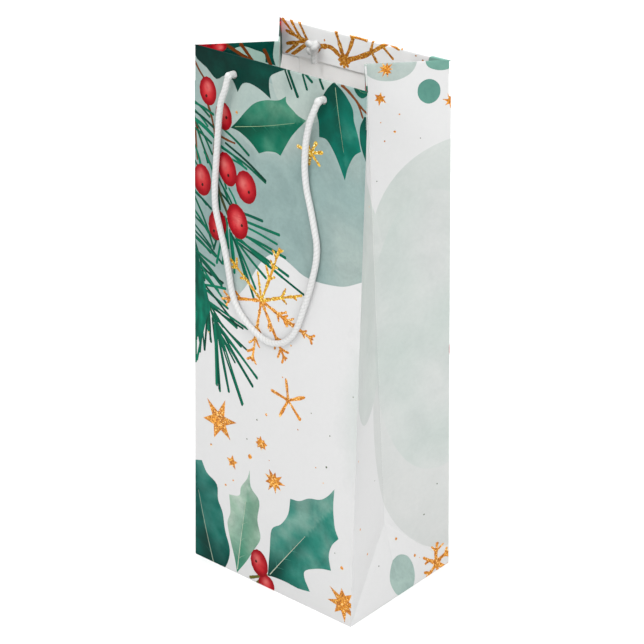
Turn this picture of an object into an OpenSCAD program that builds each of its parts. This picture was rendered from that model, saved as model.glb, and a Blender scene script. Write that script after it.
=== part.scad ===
// Narrow gift bag for one bottle: one creased paper sheet with tucked side
// gussets, a turned-in top, a glued block bottom with a loose board, and two
// knotted cord handles. Stands on z = 0, front facing -Y, origin under the
// middle of the base.

/* [Bag] */
// Width of the front and back panels at the base
bag_w = 127; // [110:1:145]
// Depth of the base, front to back
bag_d = 95; // [80:1:110]
// Height of the panels along the paper
bag_h = 330; // [300:5:380]
// Distance between the front and back panels at the mouth
mouth_d = 72; // [60:1:90]

/* [Paper] */
// Thickness of the printed paper
paper_t = 0.4; // [0.25:0.05:0.6]
// Thickness of the strips that stiffen the top edge
card_t = 0.8; // [0.5:0.1:1.5]
// Thickness of the board in the bottom
board_t = 1.5; // [1:0.1:2.5]
// Depth of the turned-in top edge
hem_h = 21; // [16:1:35]
// Height of the stiffening strips
card_h = 19; // [12:1:30]
// Width of the glued side seam
seam_w = 14; // [10:1:20]

/* [Gussets] */
// How far the side crease is tucked in at the mouth
tuck_top = 31; // [20:1:36]
// How far the side crease is tucked in where the bottom fold starts
tuck_low = 13.5; // [8:0.5:18]
// Height of the bottom fold on the side crease
tuck_z = 45.6; // [40:0.2:50]
// Inward bow of each gusset half at mid height
gusset_bow = 2.4; // [0:0.2:4]

/* [Handles] */
// Distance between the two cord holes in a panel
hole_gap = 66; // [50:1:80]
// Distance from the cord holes down from the top edge
hole_drop = 11; // [9:0.5:14]
// Diameter of the cord holes
hole_d = 5; // [4.6:0.1:6]
// Diameter of the handle cord
cord_d = 4; // [3:0.1:4.2]
// Diameter of the knots inside the bag
knot_d = 9.2; // [8:0.2:11]
// How far the cord stands out of the panel where it turns down
cord_out = 4.5; // [4:0.1:6]

/* [Hidden] */

// inward lean of the front and back panels
lean = asin((bag_d - mouth_d) / 2 / bag_h);
// thin gap between glued layers
gap = 0.05;
// face of the turned-in paper, measured from the outside of the panel
hem_in = paper_t + gap + card_t + gap;
// height of the cord holes along the panel
hole_z = bag_h - hole_drop;

paper_col = [0.95, 0.95, 0.93];
white_col = [0.97, 0.97, 0.96];
board_col = [0.80, 0.79, 0.76];
cord_col = [0.93, 0.92, 0.88];

// ---- placing things on the panels -------------------------------------

// Panel space: x across, y from the outer face inward, z up the paper.
module on_front() {
    translate([0, -bag_d / 2, 0]) rotate([-lean, 0, 0]) children();
}
module on_back() {
    mirror([0, 1, 0]) on_front() children();
}

// Cord holes, from y0 to y1 in panel space.
module cord_holes(y0, y1) {
    for (s = [-1, 1])
        translate([s * hole_gap / 2, y0, hole_z])
            rotate([-90, 0, 0]) cylinder(h = y1 - y0, d = hole_d, $fn = 32);
}

// ---- panels and the layers on them ------------------------------------

module panel() {
    difference() {
        translate([-bag_w / 2, 0, 0.1]) cube([bag_w, paper_t, bag_h - 0.1]);
        cord_holes(-1, paper_t + 1);
    }
}

module hem_strip() {
    difference() {
        union() {
            translate([-bag_w / 2 + 2.6, hem_in, bag_h - hem_h])
                cube([bag_w - 5.2, paper_t, hem_h - 0.1]);
            // the paper that goes over the top of the stiffening strip
            translate([-bag_w / 2 + 2.6, paper_t + gap, bag_h - paper_t - 0.1])
                cube([bag_w - 5.2, card_t + 2 * gap, paper_t]);
        }
        cord_holes(0, hem_in + paper_t + 1);
    }
}

module stiffener() {
    difference() {
        translate([-bag_w / 2 + 4, paper_t + gap, bag_h - 0.6 - card_h])
            cube([bag_w - 8, card_t, card_h]);
        cord_holes(0, hem_in + 1);
    }
}

module front_panel() { color(paper_col) on_front() panel(); }
module back_panel() { color(paper_col) on_back() panel(); }
module front_hem() { color(paper_col) on_front() hem_strip(); }
module back_hem() { color(paper_col) on_back() hem_strip(); }
module front_reinforcement_card() { color(board_col) on_front() stiffener(); }
module back_reinforcement_card() { color(board_col) on_back() stiffener(); }

// The tab that closes the sheet into a tube, glued inside the back panel.
module glue_seam_tab() {
    color(white_col) on_back()
        translate([-bag_w / 2 + 0.8, paper_t + gap, 3.5])
            cube([seam_w, paper_t, bag_h - hem_h - 5]);
}

// ---- side gussets -----------------------------------------------------

// Half the distance between the panels at height z.
function half_d(z) = bag_d / 2 - z * tan(lean);
// The side crease, tucked in from the panel's edge.
function crease_x(z) = z < tuck_z
    ? bag_w / 2 - tuck_low * z / tuck_z
    : bag_w / 2 - tuck_low
      - (tuck_top - tuck_low) * (z - tuck_z) / (bag_h - tuck_z);
// Where the 45 degree bottom fold crosses height z.
function fold_y(z) = z < tuck_z ? bag_d / 2 * (1 - z / tuck_z) : 0;

function bow(z) = z < tuck_z ? 0
    : gusset_bow * sin(180 * pow((z - tuck_z) / (bag_h - tuck_z), 0.8));

// A point on the middle of the paper of the right front half, u from 0 at
// the panel's edge to 1 at the crease.
function edge_pt(z) = [bag_w / 2 - 0.35, -half_d(z) + paper_t + 0.35];
function crease_pt(z) = [crease_x(z) - 0.35, -0.35];
function chord_pt(z, u) =
    let (e = edge_pt(z), c = crease_pt(z), p = e + (c - e) * u,
         n = [-(c[1] - e[1]), c[0] - e[0]] / norm(c - e))
    p + n * bow(z) * 4 * u * (1 - u);
function fold_pt(z, u) =
    let (e = edge_pt(z), c = crease_pt(z), f = fold_y(z),
         y = e[1] + (c[1] - e[1]) * u, w = (-y - f) / max(0.01, -e[1] - f))
    [w <= 0 ? c[0] : c[0] + (e[0] - c[0]) * min(1, w), y];
function gusset_pt(z, u) = z < tuck_z ? fold_pt(z, u) : chord_pt(z, u);

// Unit normal, in plan, pointing into the bag.
function gusset_nm(z, u) =
    let (a = gusset_pt(z, max(0, u - 0.04)), b = gusset_pt(z, min(1, u + 0.04)),
         d = (b - a) / norm(b - a)) [-d[1], d[0]];

// A thin closed sheet between heights, off by `o` from the paper's middle.
module gusset_sheet(zs, us, o) {
    nr = len(zs);
    nc = len(us);
    pts = [for (s = [-1, 1]) for (z = zs) for (u = us)
        let (p = gusset_pt(z, u), n = gusset_nm(z, u),
             q = p + n * (o + s * paper_t / 2)) [q[0], q[1], z]];
    k = nr * nc;
    faces = concat(
        [for (i = [0:nr - 2]) for (j = [0:nc - 2]) for (t = [0, 1])
            t == 0 ? [i * nc + j, i * nc + j + 1, (i + 1) * nc + j + 1]
                   : [i * nc + j, (i + 1) * nc + j + 1, (i + 1) * nc + j]],
        [for (i = [0:nr - 2]) for (j = [0:nc - 2]) for (t = [0, 1])
            t == 0 ? [k + i * nc + j, k + (i + 1) * nc + j + 1, k + i * nc + j + 1]
                   : [k + i * nc + j, k + (i + 1) * nc + j, k + (i + 1) * nc + j + 1]],
        [for (j = [0:nc - 2]) each [[j, k + j, k + j + 1], [j, k + j + 1, j + 1]]],
        [for (j = [0:nc - 2]) let (a = (nr - 1) * nc + j)
            each [[a, a + 1, k + a + 1], [a, k + a + 1, k + a]]],
        [for (i = [0:nr - 2]) let (a = i * nc, b = a + nc)
            each [[a, b, k + b], [a, k + b, k + a]]],
        [for (i = [0:nr - 2]) let (a = i * nc + nc - 1, b = a + nc)
            each [[a, k + b, b], [a, k + a, k + b]]]);
    polyhedron(points = pts, faces = faces, convexity = 6);
}

half_zs = [0.15, 8, 16, 24, 32, 40, tuck_z, 70, 110, 160, 210, 260, 300, bag_h - 0.6];
half_us = [0, 0.2, 0.4, 0.6, 0.8, 1];
hem_zs = [bag_h - hem_h, bag_h - hem_h / 2, bag_h - 0.6];
hem_us = [0.06, 0.3, 0.5, 0.7, 0.97];

module gusset_half() { gusset_sheet(half_zs, half_us, 0); }
module gusset_hem() { gusset_sheet(hem_zs, hem_us, paper_t + 0.25); }

module right_gusset_front_half() { color(paper_col) gusset_half(); }
module right_gusset_rear_half() { color(paper_col) mirror([0, 1, 0]) gusset_half(); }
module left_gusset_front_half() { color(paper_col) mirror([1, 0, 0]) gusset_half(); }
module left_gusset_rear_half() {
    color(paper_col) mirror([1, 0, 0]) mirror([0, 1, 0]) gusset_half();
}
module right_gusset_front_hem() { color(paper_col) gusset_hem(); }
module right_gusset_rear_hem() { color(paper_col) mirror([0, 1, 0]) gusset_hem(); }
module left_gusset_front_hem() { color(paper_col) mirror([1, 0, 0]) gusset_hem(); }
module left_gusset_rear_hem() {
    color(paper_col) mirror([1, 0, 0]) mirror([0, 1, 0]) gusset_hem();
}

// ---- block bottom -----------------------------------------------------

flap_x = bag_w / 2 - 1.3;
flap_y = bag_d / 2 - 0.9;
flap_reach = bag_d * 0.64;
side_reach = bag_d / 2 - 6;

// Trapezoid flap folded in from the front edge, with 45 degree corners.
module long_flap() {
    linear_extrude(paper_t)
        polygon([[-flap_x, -flap_y], [flap_x, -flap_y],
                 [flap_x, -flap_y + 8], [flap_x - 20, -flap_y + flap_reach],
                 [-flap_x + 20, -flap_y + flap_reach], [-flap_x, -flap_y + 8]]);
}
// Flap folded in from the right edge under the board.
module short_flap() {
    linear_extrude(paper_t)
        polygon([[flap_x, -flap_y], [flap_x, flap_y],
                 [flap_x - side_reach, flap_y - side_reach + 4],
                 [flap_x - side_reach, -flap_y + side_reach - 4]]);
}

module bottom_front_flap() { color(white_col) long_flap(); }
module bottom_back_flap() {
    color(white_col) translate([0, 0, paper_t + gap]) mirror([0, 1, 0]) long_flap();
}
module bottom_right_flap() {
    color(white_col) translate([0, 0, 2 * (paper_t + gap)]) short_flap();
}
module bottom_left_flap() {
    color(white_col) translate([0, 0, 2 * (paper_t + gap)])
        mirror([1, 0, 0]) short_flap();
}
module base_board() {
    color(board_col) translate([0, 0, 3 * (paper_t + gap)])
        linear_extrude(board_t)
            polygon([for (a = [0:3]) let (sx = [1, -1, -1, 1][a], sy = [1, 1, -1, -1][a])
                for (c = (a % 2 == 0) ? [[0, 3], [3, 0]] : [[3, 0], [0, 3]])
                    [sx * (bag_w / 2 - 3.2 - c[0]), sy * (bag_d / 2 - 2 - c[1])]]);
}

// ---- handles ----------------------------------------------------------

// Route of the hanging loop in panel space, from the left hole to the right
// one: across, out from the panel's face, and up the panel. Heights are
// counted down from the cord holes.
loop = [[-33.9, 4.7, -3], [-35.2, 5, -8], [-38.6, 4.6, -16], [-40.6, 4, -25],
        [-42.3, 3.3, -38], [-43.9, 2.9, -54], [-45, 2.7, -68], [-44.5, 2.7, -81],
        [-41, 2.7, -93], [-36.8, 2.7, -106], [-33.6, 2.8, -119], [-31, 2.9, -130],
        [-26.9, 3, -138.5], [-20.6, 3, -145], [-12.5, 3, -150], [-4.5, 3, -152.8],
        [3, 3, -152.6], [10.2, 3, -149.4], [15.8, 3, -144], [20, 2.9, -136.5],
        [23.2, 2.8, -127.5], [27, 2.7, -116], [30, 2.7, -105], [32.4, 2.7, -94],
        [32.7, 2.7, -84], [30.5, 2.7, -74], [27.5, 2.7, -63], [24.6, 2.8, -53],
        [23.2, 3, -43], [23.2, 3.3, -33], [24.6, 4, -23], [27.4, 4.7, -13],
        [30, 5, -7], [31.6, 4.7, -3]];

function to_panel(p) = [p[0] * hole_gap / 66, -p[1], hole_z + p[2]];

function unit(v) = v / norm(v);
// A ring of points round the route at point i, across direction d.
function ring(c, d, r, n) =
    let (s = unit(cross(d, [0, 1, 0])), t = cross(s, d))
    [for (a = [0:n - 1]) c + r * (cos(a * 360 / n) * s + sin(a * 360 / n) * t)];

module tube(route, r, n) {
    m = len(route);
    pts = [for (i = [0:m - 1])
        each ring(route[i],
                  unit(route[min(m - 1, i + 1)] - route[max(0, i - 1)]), r, n)];
    faces = concat(
        [[for (a = [n - 1:-1:0]) a]],
        [[for (a = [0:n - 1]) (m - 1) * n + a]],
        [for (i = [0:m - 2]) for (a = [0:n - 1]) let (b = (a + 1) % n)
            each [[i * n + a, i * n + b, (i + 1) * n + b],
                  [i * n + a, (i + 1) * n + b, (i + 1) * n + a]]]);
    polyhedron(points = pts, faces = faces, convexity = 8);
}

module loop_cord() { tube([for (p = loop) to_panel(p)], cord_d / 2, 10); }

// The knot inside the bag, its short tail, and the cord through the hole to
// the rounded bend outside.
module knot(s) {
    k = hem_in + paper_t + 0.15 + knot_d / 2;
    translate([s * hole_gap / 2, 0, hole_z]) {
        translate([0, k, 0]) sphere(d = knot_d, $fn = 32);
        translate([0, k, -knot_d / 2 - 6])
            cylinder(h = knot_d / 2 + 6, d = cord_d, $fn = 24);
        translate([0, -cord_out, 0])
            rotate([-90, 0, 0]) cylinder(h = cord_out + k, d = cord_d, $fn = 24);
        translate([0, -cord_out, 0]) sphere(d = cord_d + 0.6, $fn = 24);
    }
}

module front_handle_cord() { color(cord_col) on_front() loop_cord(); }
module back_handle_cord() { color(cord_col) on_back() loop_cord(); }
module front_handle_knots() { color(cord_col) on_front() for (s = [-1, 1]) knot(s); }
module back_handle_knots() { color(cord_col) on_back() for (s = [-1, 1]) knot(s); }

// ---- output -----------------------------------------------------------

front_panel();
back_panel();
right_gusset_front_half();
right_gusset_rear_half();
left_gusset_front_half();
left_gusset_rear_half();
front_hem();
back_hem();
right_gusset_front_hem();
right_gusset_rear_hem();
left_gusset_front_hem();
left_gusset_rear_hem();
glue_seam_tab();
front_reinforcement_card();
back_reinforcement_card();
bottom_front_flap();
bottom_back_flap();
bottom_left_flap();
bottom_right_flap();
base_board();
front_handle_cord();
back_handle_cord();
front_handle_knots();
back_handle_knots();
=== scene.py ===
import bpy, math, random
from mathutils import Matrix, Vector, noise
from mathutils.geometry import delaunay_2d_cdt


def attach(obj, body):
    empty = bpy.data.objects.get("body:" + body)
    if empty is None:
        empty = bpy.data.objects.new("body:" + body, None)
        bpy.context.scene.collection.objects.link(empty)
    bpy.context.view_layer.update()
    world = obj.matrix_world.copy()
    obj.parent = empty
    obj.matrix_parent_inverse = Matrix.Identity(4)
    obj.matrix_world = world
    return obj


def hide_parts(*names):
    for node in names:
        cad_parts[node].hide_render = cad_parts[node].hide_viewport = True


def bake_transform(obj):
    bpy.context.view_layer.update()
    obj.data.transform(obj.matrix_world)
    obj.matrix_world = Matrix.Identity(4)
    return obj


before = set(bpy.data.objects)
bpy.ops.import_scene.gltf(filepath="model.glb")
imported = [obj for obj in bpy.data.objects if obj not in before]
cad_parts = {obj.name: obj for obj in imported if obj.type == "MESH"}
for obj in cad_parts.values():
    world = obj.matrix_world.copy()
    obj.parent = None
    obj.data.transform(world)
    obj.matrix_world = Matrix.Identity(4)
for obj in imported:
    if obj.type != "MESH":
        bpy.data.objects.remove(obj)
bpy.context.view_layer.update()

MM = 0.001

# ---------------------------------------------------------------- camera
def make_camera():
    az, el, dist = math.radians(40.70), math.radians(25.23), 1.2343
    tgt = Vector((0.00039, 0.0, 0.16335))
    back = Vector((math.sin(az) * math.cos(el), -math.cos(az) * math.cos(el), math.sin(el)))
    cam = bpy.data.cameras.new("camera")
    cam.lens = 116.4655
    cam.sensor_width = 36.0
    cam.clip_start = 0.05
    cam.clip_end = 20.0
    ob = bpy.data.objects.new("camera", cam)
    bpy.context.scene.collection.objects.link(ob)
    ob.location = tgt + back * dist
    ob.rotation_mode = "QUATERNION"
    ob.rotation_quaternion = (-back).to_track_quat("-Z", "Y")
    bpy.context.scene.camera = ob
make_camera()
bpy.context.scene.view_settings.view_transform = "Standard"

# ------------------------------------------------- the bag's dimensions, mm
W, D, H, MOUTH = 127.0, 95.0, 330.0, 72.0
HW, HD = W / 2, D / 2
LEAN = math.asin((D - MOUTH) / 2 / H)
CL, SL = math.cos(LEAN), math.sin(LEAN)
TUCK_TOP, TUCK_LOW, TUCK_Z = 31.0, 13.5, 45.6
HOLE_X, HOLE_Z, HOLE_R = 33.0, 319.0, 2.4
PAPER = 0.34
REPEAT = W + D                      # the print repeats on the back

def srgb(c):
    out = []
    for x in c[:3]:
        x = x / 255.0
        out.append(x / 12.92 if x <= 0.04045 else ((x + 0.055) / 1.055) ** 2.4)
    return tuple(out)

def clamp(x, a=0.0, b=1.0):
    return a if x < a else b if x > b else x

def smooth(x):
    x = clamp(x)
    return x * x * (3 - 2 * x)

def link(ob):
    bpy.context.scene.collection.objects.link(ob)
    return ob

# ------------------------------------------------------------- materials
def new_mat(name):
    m = bpy.data.materials.new(name)
    m.use_nodes = True
    nt = m.node_tree
    nt.nodes.clear()
    out = nt.nodes.new("ShaderNodeOutputMaterial")
    b = nt.nodes.new("ShaderNodeBsdfPrincipled")
    nt.links.new(b.outputs["BSDF"], out.inputs["Surface"])
    return m, nt, b

def nd(nt, kind, **kw):
    n = nt.nodes.new(kind)
    for k, v in kw.items():
        if k.startswith("i_"):
            n.inputs[k[2:].replace("_", " ")].default_value = v
        else:
            setattr(n, k, v)
    return n

def grain(nt, b, scale, strength, dist, detail=4.0):
    tc = nd(nt, "ShaderNodeTexCoord")
    n = nd(nt, "ShaderNodeTexNoise", i_Scale=scale, i_Detail=detail, i_Roughness=0.6)
    nt.links.new(tc.outputs["Object"], n.inputs["Vector"])
    bp = nd(nt, "ShaderNodeBump", i_Strength=strength, i_Distance=dist)
    nt.links.new(n.outputs["Fac"], bp.inputs["Height"])
    nt.links.new(bp.outputs["Normal"], b.inputs["Normal"])
    return tc, n, bp

def mix_color(nt, kind, fac, a, b_):
    m = nd(nt, "ShaderNodeMix", data_type="RGBA", blend_type=kind)
    if isinstance(fac, (int, float)):
        m.inputs[0].default_value = fac
    else:
        nt.links.new(fac, m.inputs[0])
    for sock, val in ((m.inputs[6], a), (m.inputs[7], b_)):
        if isinstance(val, tuple):
            sock.default_value = (*val[:3], 1.0)
        else:
            nt.links.new(val, sock)
    return m.outputs[2]

def ramp(nt, fac, stops):
    r = nd(nt, "ShaderNodeValToRGB")
    els = r.color_ramp.elements
    while len(els) < len(stops):
        els.new(0.5)
    for e, (p, c) in zip(els, stops):
        e.position = p
        e.color = (*c[:3], 1.0)
    nt.links.new(fac, r.inputs["Fac"])
    return r.outputs["Color"]

def make_print():
    """Satin printed paper: ink colours with watercolour pooling and grain."""
    m, nt, b = new_mat("printed_paper")
    b.inputs["Roughness"].default_value = 0.5
    b.inputs["Specular IOR Level"].default_value = 0.07
    ink = nd(nt, "ShaderNodeAttribute", attribute_name="Ink")
    wet = nd(nt, "ShaderNodeAttribute", attribute_name="Wet")
    tc = nd(nt, "ShaderNodeTexCoord")
    n1 = nd(nt, "ShaderNodeTexNoise", i_Scale=46.0, i_Detail=5.0, i_Roughness=0.62, i_Distortion=0.7)
    n2 = nd(nt, "ShaderNodeTexNoise", i_Scale=420.0, i_Detail=4.0, i_Roughness=0.7)
    for n in (n1, n2):
        nt.links.new(tc.outputs["Object"], n.inputs["Vector"])
    pool = ramp(nt, n1.outputs["Fac"], [(0.30, (0.62, 0.66, 0.66)), (0.52, (1, 1, 1)), (0.74, (1.30, 1.26, 1.24))])
    c1 = mix_color(nt, "MULTIPLY", wet.outputs["Fac"], ink.outputs["Color"], pool)
    fine = ramp(nt, n2.outputs["Fac"], [(0.32, (0.86, 0.87, 0.87)), (0.62, (1.05, 1.05, 1.05))])
    w2 = nd(nt, "ShaderNodeMath", operation="MULTIPLY_ADD")
    nt.links.new(wet.outputs["Fac"], w2.inputs[0])
    w2.inputs[1].default_value = 0.75
    w2.inputs[2].default_value = 0.10
    c2 = mix_color(nt, "MULTIPLY", w2.outputs[0], c1, fine)
    nt.links.new(c2, b.inputs["Base Color"])
    n3 = nd(nt, "ShaderNodeTexNoise", i_Scale=900.0, i_Detail=3.0)
    nt.links.new(tc.outputs["Object"], n3.inputs["Vector"])
    n4 = nd(nt, "ShaderNodeTexNoise", i_Scale=34.0, i_Detail=2.0)
    nt.links.new(tc.outputs["Object"], n4.inputs["Vector"])
    b1 = nd(nt, "ShaderNodeBump", i_Strength=0.10, i_Distance=0.0001)
    nt.links.new(n3.outputs["Fac"], b1.inputs["Height"])
    b2 = nd(nt, "ShaderNodeBump", i_Strength=0.10, i_Distance=0.002)
    nt.links.new(n4.outputs["Fac"], b2.inputs["Height"])
    nt.links.new(b1.outputs["Normal"], b2.inputs["Normal"])
    nt.links.new(b2.outputs["Normal"], b.inputs["Normal"])
    return m

def make_gold():
    """Printed gold glitter: warm amber grains of random tone, the palest flakes a painted glint."""
    m, nt, b = new_mat("gold_glitter")
    b.inputs["Metallic"].default_value = 0.15
    b.inputs["Roughness"].default_value = 0.45
    b.inputs["Specular IOR Level"].default_value = 0.3
    tc = nd(nt, "ShaderNodeTexCoord")
    v = nd(nt, "ShaderNodeTexVoronoi", i_Scale=1500.0)
    nt.links.new(tc.outputs["Object"], v.inputs["Vector"])
    hsv = nd(nt, "ShaderNodeSeparateColor")
    nt.links.new(v.outputs["Color"], hsv.inputs["Color"])
    # grain tone varies at random; the palest stop at the top is a painted glint on the flakes
    col = ramp(nt, hsv.outputs["Red"], [(0.0, srgb((132, 70, 4))), (0.30, srgb((190, 112, 14))),
                                        (0.62, srgb((208, 134, 26))), (0.86, srgb((228, 162, 50))),
                                        (1.0, srgb((255, 224, 150)))])
    n = nd(nt, "ShaderNodeTexNoise", i_Scale=160.0, i_Detail=3.0)
    nt.links.new(tc.outputs["Object"], n.inputs["Vector"])
    big = ramp(nt, n.outputs["Fac"], [(0.3, (0.72, 0.67, 0.58)), (0.7, (1.0, 1.0, 1.0))])
    tint = nd(nt, "ShaderNodeAttribute", attribute_name="Ink")
    c = mix_color(nt, "MULTIPLY", 0.8, col, big)
    nt.links.new(mix_color(nt, "MULTIPLY", 1.0, c, tint.outputs["Color"]), b.inputs["Base Color"])
    bp = nd(nt, "ShaderNodeBump", i_Strength=0.5, i_Distance=0.0002)
    nt.links.new(hsv.outputs["Green"], bp.inputs["Height"])
    nt.links.new(bp.outputs["Normal"], b.inputs["Normal"])
    return m

def make_plain(name, c, c2, rough, scale, bump=0.25, fibre=700.0):
    """Uncoated paper or board with mottling and fibres."""
    m, nt, b = new_mat(name)
    b.inputs["Roughness"].default_value = rough
    tc, n, bp = grain(nt, b, fibre, bump, 0.0001)
    n2 = nd(nt, "ShaderNodeTexNoise", i_Scale=scale, i_Detail=6.0, i_Roughness=0.65)
    nt.links.new(tc.outputs["Object"], n2.inputs["Vector"])
    nt.links.new(ramp(nt, n2.outputs["Fac"], [(0.3, srgb(c2)), (0.65, srgb(c))]), b.inputs["Base Color"])
    return m

def make_cord():
    """Soft white twisted cord, with fibres along the strands and painted shade in the grooves between them."""
    m, nt, b = new_mat("white_cord")
    b.inputs["Roughness"].default_value = 0.62
    b.inputs["Sheen Weight"].default_value = 0.10
    b.inputs["Sheen Roughness"].default_value = 0.5
    b.inputs["Subsurface Weight"].default_value = 0.08
    b.inputs["Subsurface Radius"].default_value = (0.001, 0.001, 0.001)
    at = nd(nt, "ShaderNodeAttribute", attribute_name="GrooveShade")
    tc = nd(nt, "ShaderNodeTexCoord")
    n = nd(nt, "ShaderNodeTexNoise", i_Scale=2600.0, i_Detail=3.0)
    nt.links.new(tc.outputs["Object"], n.inputs["Vector"])
    # painted shade: the white cord's colour is darker in the grooves where the strands meet
    base = ramp(nt, at.outputs["Fac"], [(0.0, srgb((168, 170, 168))), (0.45, srgb((188, 189, 188))), (1.0, srgb((197, 197, 197)))])
    fib = ramp(nt, n.outputs["Fac"], [(0.3, (0.88, 0.88, 0.87)), (0.65, (1.03, 1.03, 1.03))])
    nt.links.new(mix_color(nt, "MULTIPLY", 0.8, base, fib), b.inputs["Base Color"])
    bp = nd(nt, "ShaderNodeBump", i_Strength=0.35, i_Distance=0.0002)
    nt.links.new(n.outputs["Fac"], bp.inputs["Height"])
    nt.links.new(bp.outputs["Normal"], b.inputs["Normal"])
    return m

M_PRINT = make_print()
M_GOLD = make_gold()
M_INNER = make_plain("white_paper_inside", (250, 249, 248), (246, 245, 244), 0.62, 60.0)
M_EDGE = make_plain("cut_paper_edge", (240, 239, 236), (228, 227, 224), 0.75, 300.0, 0.4)
M_BOARD = make_plain("grey_board", (206, 202, 194), (188, 184, 175), 0.85, 90.0, 0.5, 420.0)
M_CORD = make_cord()

# ------------------------------------------------------- the paper in space
def ripple(x, y, k, seed):
    return noise.noise(Vector((x * k, y * k, seed)))

def panel_pt(s, v, depth, front=True):
    """Point on the front (or back) panel; depth is mm inward from its face."""
    x = max(-HW + max(0.0, depth), min(HW - max(0.0, depth), s)) if depth < 1 else s
    fx = math.cos(math.pi * clamp(s / W, -0.5, 0.5))
    fv = math.sin(math.pi * clamp(v / H)) ** 0.8 if 0 < v < H else 0.0
    bow = -1.3 * fx * fv + 0.55 * fx * fv * ripple(s, v, 0.022, 3.1 if front else 8.4)
    y = bow + depth
    py = -HD + y * CL + v * SL
    pz = -y * SL + v * CL
    if front:
        return Vector((x, py, pz))
    return Vector((-x, -py, pz))

def crease_x(z):
    if z < TUCK_Z:
        return HW - TUCK_LOW * z / TUCK_Z
    return HW - TUCK_LOW - (TUCK_TOP - TUCK_LOW) * (z - TUCK_Z) / (H - TUCK_Z)

def gus_raw(u, v):
    """Right front half; u 0 at the panel's edge, 1 at the side crease."""
    if v < 47.5:
        a = u * 47.5
        if a >= v:
            dip = 0.35 * math.exp(-((47.5 - a) / 0.9) ** 2) * smooth(v / 8.0)
            return Vector((HW - v * TUCK_LOW / 47.5 - dip, -HD + a, v * TUCK_Z / 47.5))
        t = a / max(v, 1e-6)
        e = Vector((HW, -HD + v * SL, v * CL))
        f = Vector((HW - v * TUCK_LOW / 47.5, -HD + v, v * TUCK_Z / 47.5))
        return e.lerp(f, t)
    zc = TUCK_Z + (v - 47.5) * 1.0060
    e = Vector((HW, -HD + v * SL, v * CL))
    c = Vector((crease_x(zc), 0.0, zc))
    p = e.lerp(c, u)
    d = Vector((c.x - e.x, c.y - e.y, 0)).normalized()
    n = Vector((-d.y, d.x, 0))
    w = clamp((v - 47.5) / (H - 47.5))
    b = 2.4 * math.sin(math.pi * w ** 0.8) if w > 0 else 0.0
    b += 0.5 * ripple(u * 47.5, v, 0.03, 5.5) * math.sin(math.pi * w)
    q = p + n * (b * 4 * u * (1 - u))
    q.y -= 0.13 * u ** 6 * w
    return q

def gus_nm(u, v):
    a, b = gus_raw(max(0, u - 0.03), v), gus_raw(min(1, u + 0.03), v)
    d = Vector((b.x - a.x, b.y - a.y, 0)).normalized()
    n = Vector((-d.y, d.x, 0))
    if u > 0.9:                       # mitre, so the two halves meet
        t = (u - 0.9) / 0.1
        n = n.lerp(Vector((-1.0 / max(0.4, -n.x), 0, 0)), t)
    if u < 0.05:
        t = 1 - u / 0.05
        n = n.lerp(Vector((-0.8, 0.6, 0)), t)
    return n

def gus_pt(u, v, depth):
    return gus_raw(u, v) + gus_nm(u, v) * depth

def side(p, sx, sy):
    return Vector((p.x * sx, p.y * sy, p.z))

# ------------------------------------------------------------ motif shapes
WHITE = (240, 240, 240)
INK_K = 0.62                        # how bright the printed stock is

def deepen(c, k):
    """Print ink on the stock: a little more saturated, scaled to the stock."""
    g = 0.3 * c[0] + 0.55 * c[1] + 0.15 * c[2]
    t = 1.0 + (0.22 if c[1] > c[0] else 0.04) * clamp((0.72 - g) / 0.5)
    return [max(0.0, (g + (q - g) * t)) * k for q in c]

class Shape:
    def __init__(self, poly, ink, wet=0.0, gold=False, pts=()):
        self.poly = ccw(poly)
        if gold and ink == WHITE:
            ink = (255, 255, 255)
        self.ink = ink                # colour, or function of (s, v)
        self.wet = wet
        self.gold = gold
        self.pts = pts
        ss = [p[0] for p in self.poly]
        vs = [p[1] for p in self.poly]
        self.box = (min(ss), min(vs), max(ss), max(vs))

def ccw(poly):
    a = sum(poly[i - 1][0] * poly[i][1] - poly[i][0] * poly[i - 1][1] for i in range(len(poly)))
    return list(poly) if a > 0 else list(reversed(poly))

def inside(poly, x, y):
    c = False
    for i in range(len(poly)):
        x1, y1 = poly[i - 1]
        x2, y2 = poly[i]
        if (y1 > y) != (y2 > y) and x < (x2 - x1) * (y - y1) / (y2 - y1) + x1:
            c = not c
    return c

def smooth_outline(pts, sub=4, sharp=62):
    """Closed outline through anchors, rounded except at sharp points."""
    n = len(pts)
    P = [Vector(p) for p in pts]
    hard = []
    for i in range(n):
        a, b = P[i] - P[i - 1], P[(i + 1) % n] - P[i]
        ang = abs(math.degrees(a.angle(b))) if a.length and b.length else 0
        hard.append(ang > sharp)
    out = []
    for i in range(n):
        p0, p1, p2, p3 = P[i - 1], P[i], P[(i + 1) % n], P[(i + 2) % n]
        if hard[i]:
            p0 = p1 * 2 - p2
        if hard[(i + 1) % n]:
            p3 = p2 * 2 - p1
        for k in range(sub):
            t = k / sub
            q = 0.5 * ((2 * p1) + (p2 - p0) * t + (2 * p0 - 5 * p1 + 4 * p2 - p3) * t * t
                       + (3 * p1 - p0 - 3 * p2 + p3) * t ** 3)
            out.append((q.x, q.y))
    return out

def polyline(pts, sub=6):
    P = [Vector(p) for p in pts]
    if len(P) == 2:
        return [tuple(P[0].lerp(P[1], k / sub)) for k in range(sub + 1)]
    out = []
    for i in range(len(P) - 1):
        p1, p2 = P[i], P[i + 1]
        p0 = P[i - 1] if i else p1 * 2 - p2
        p3 = P[i + 2] if i + 2 < len(P) else p2 * 2 - p1
        for k in range(sub):
            t = k / sub
            q = 0.5 * ((2 * p1) + (p2 - p0) * t + (2 * p0 - 5 * p1 + 4 * p2 - p3) * t * t
                       + (3 * p1 - p0 - 3 * p2 + p3) * t ** 3)
            out.append((q.x, q.y))
    out.append(tuple(P[-1]))
    return out

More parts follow.
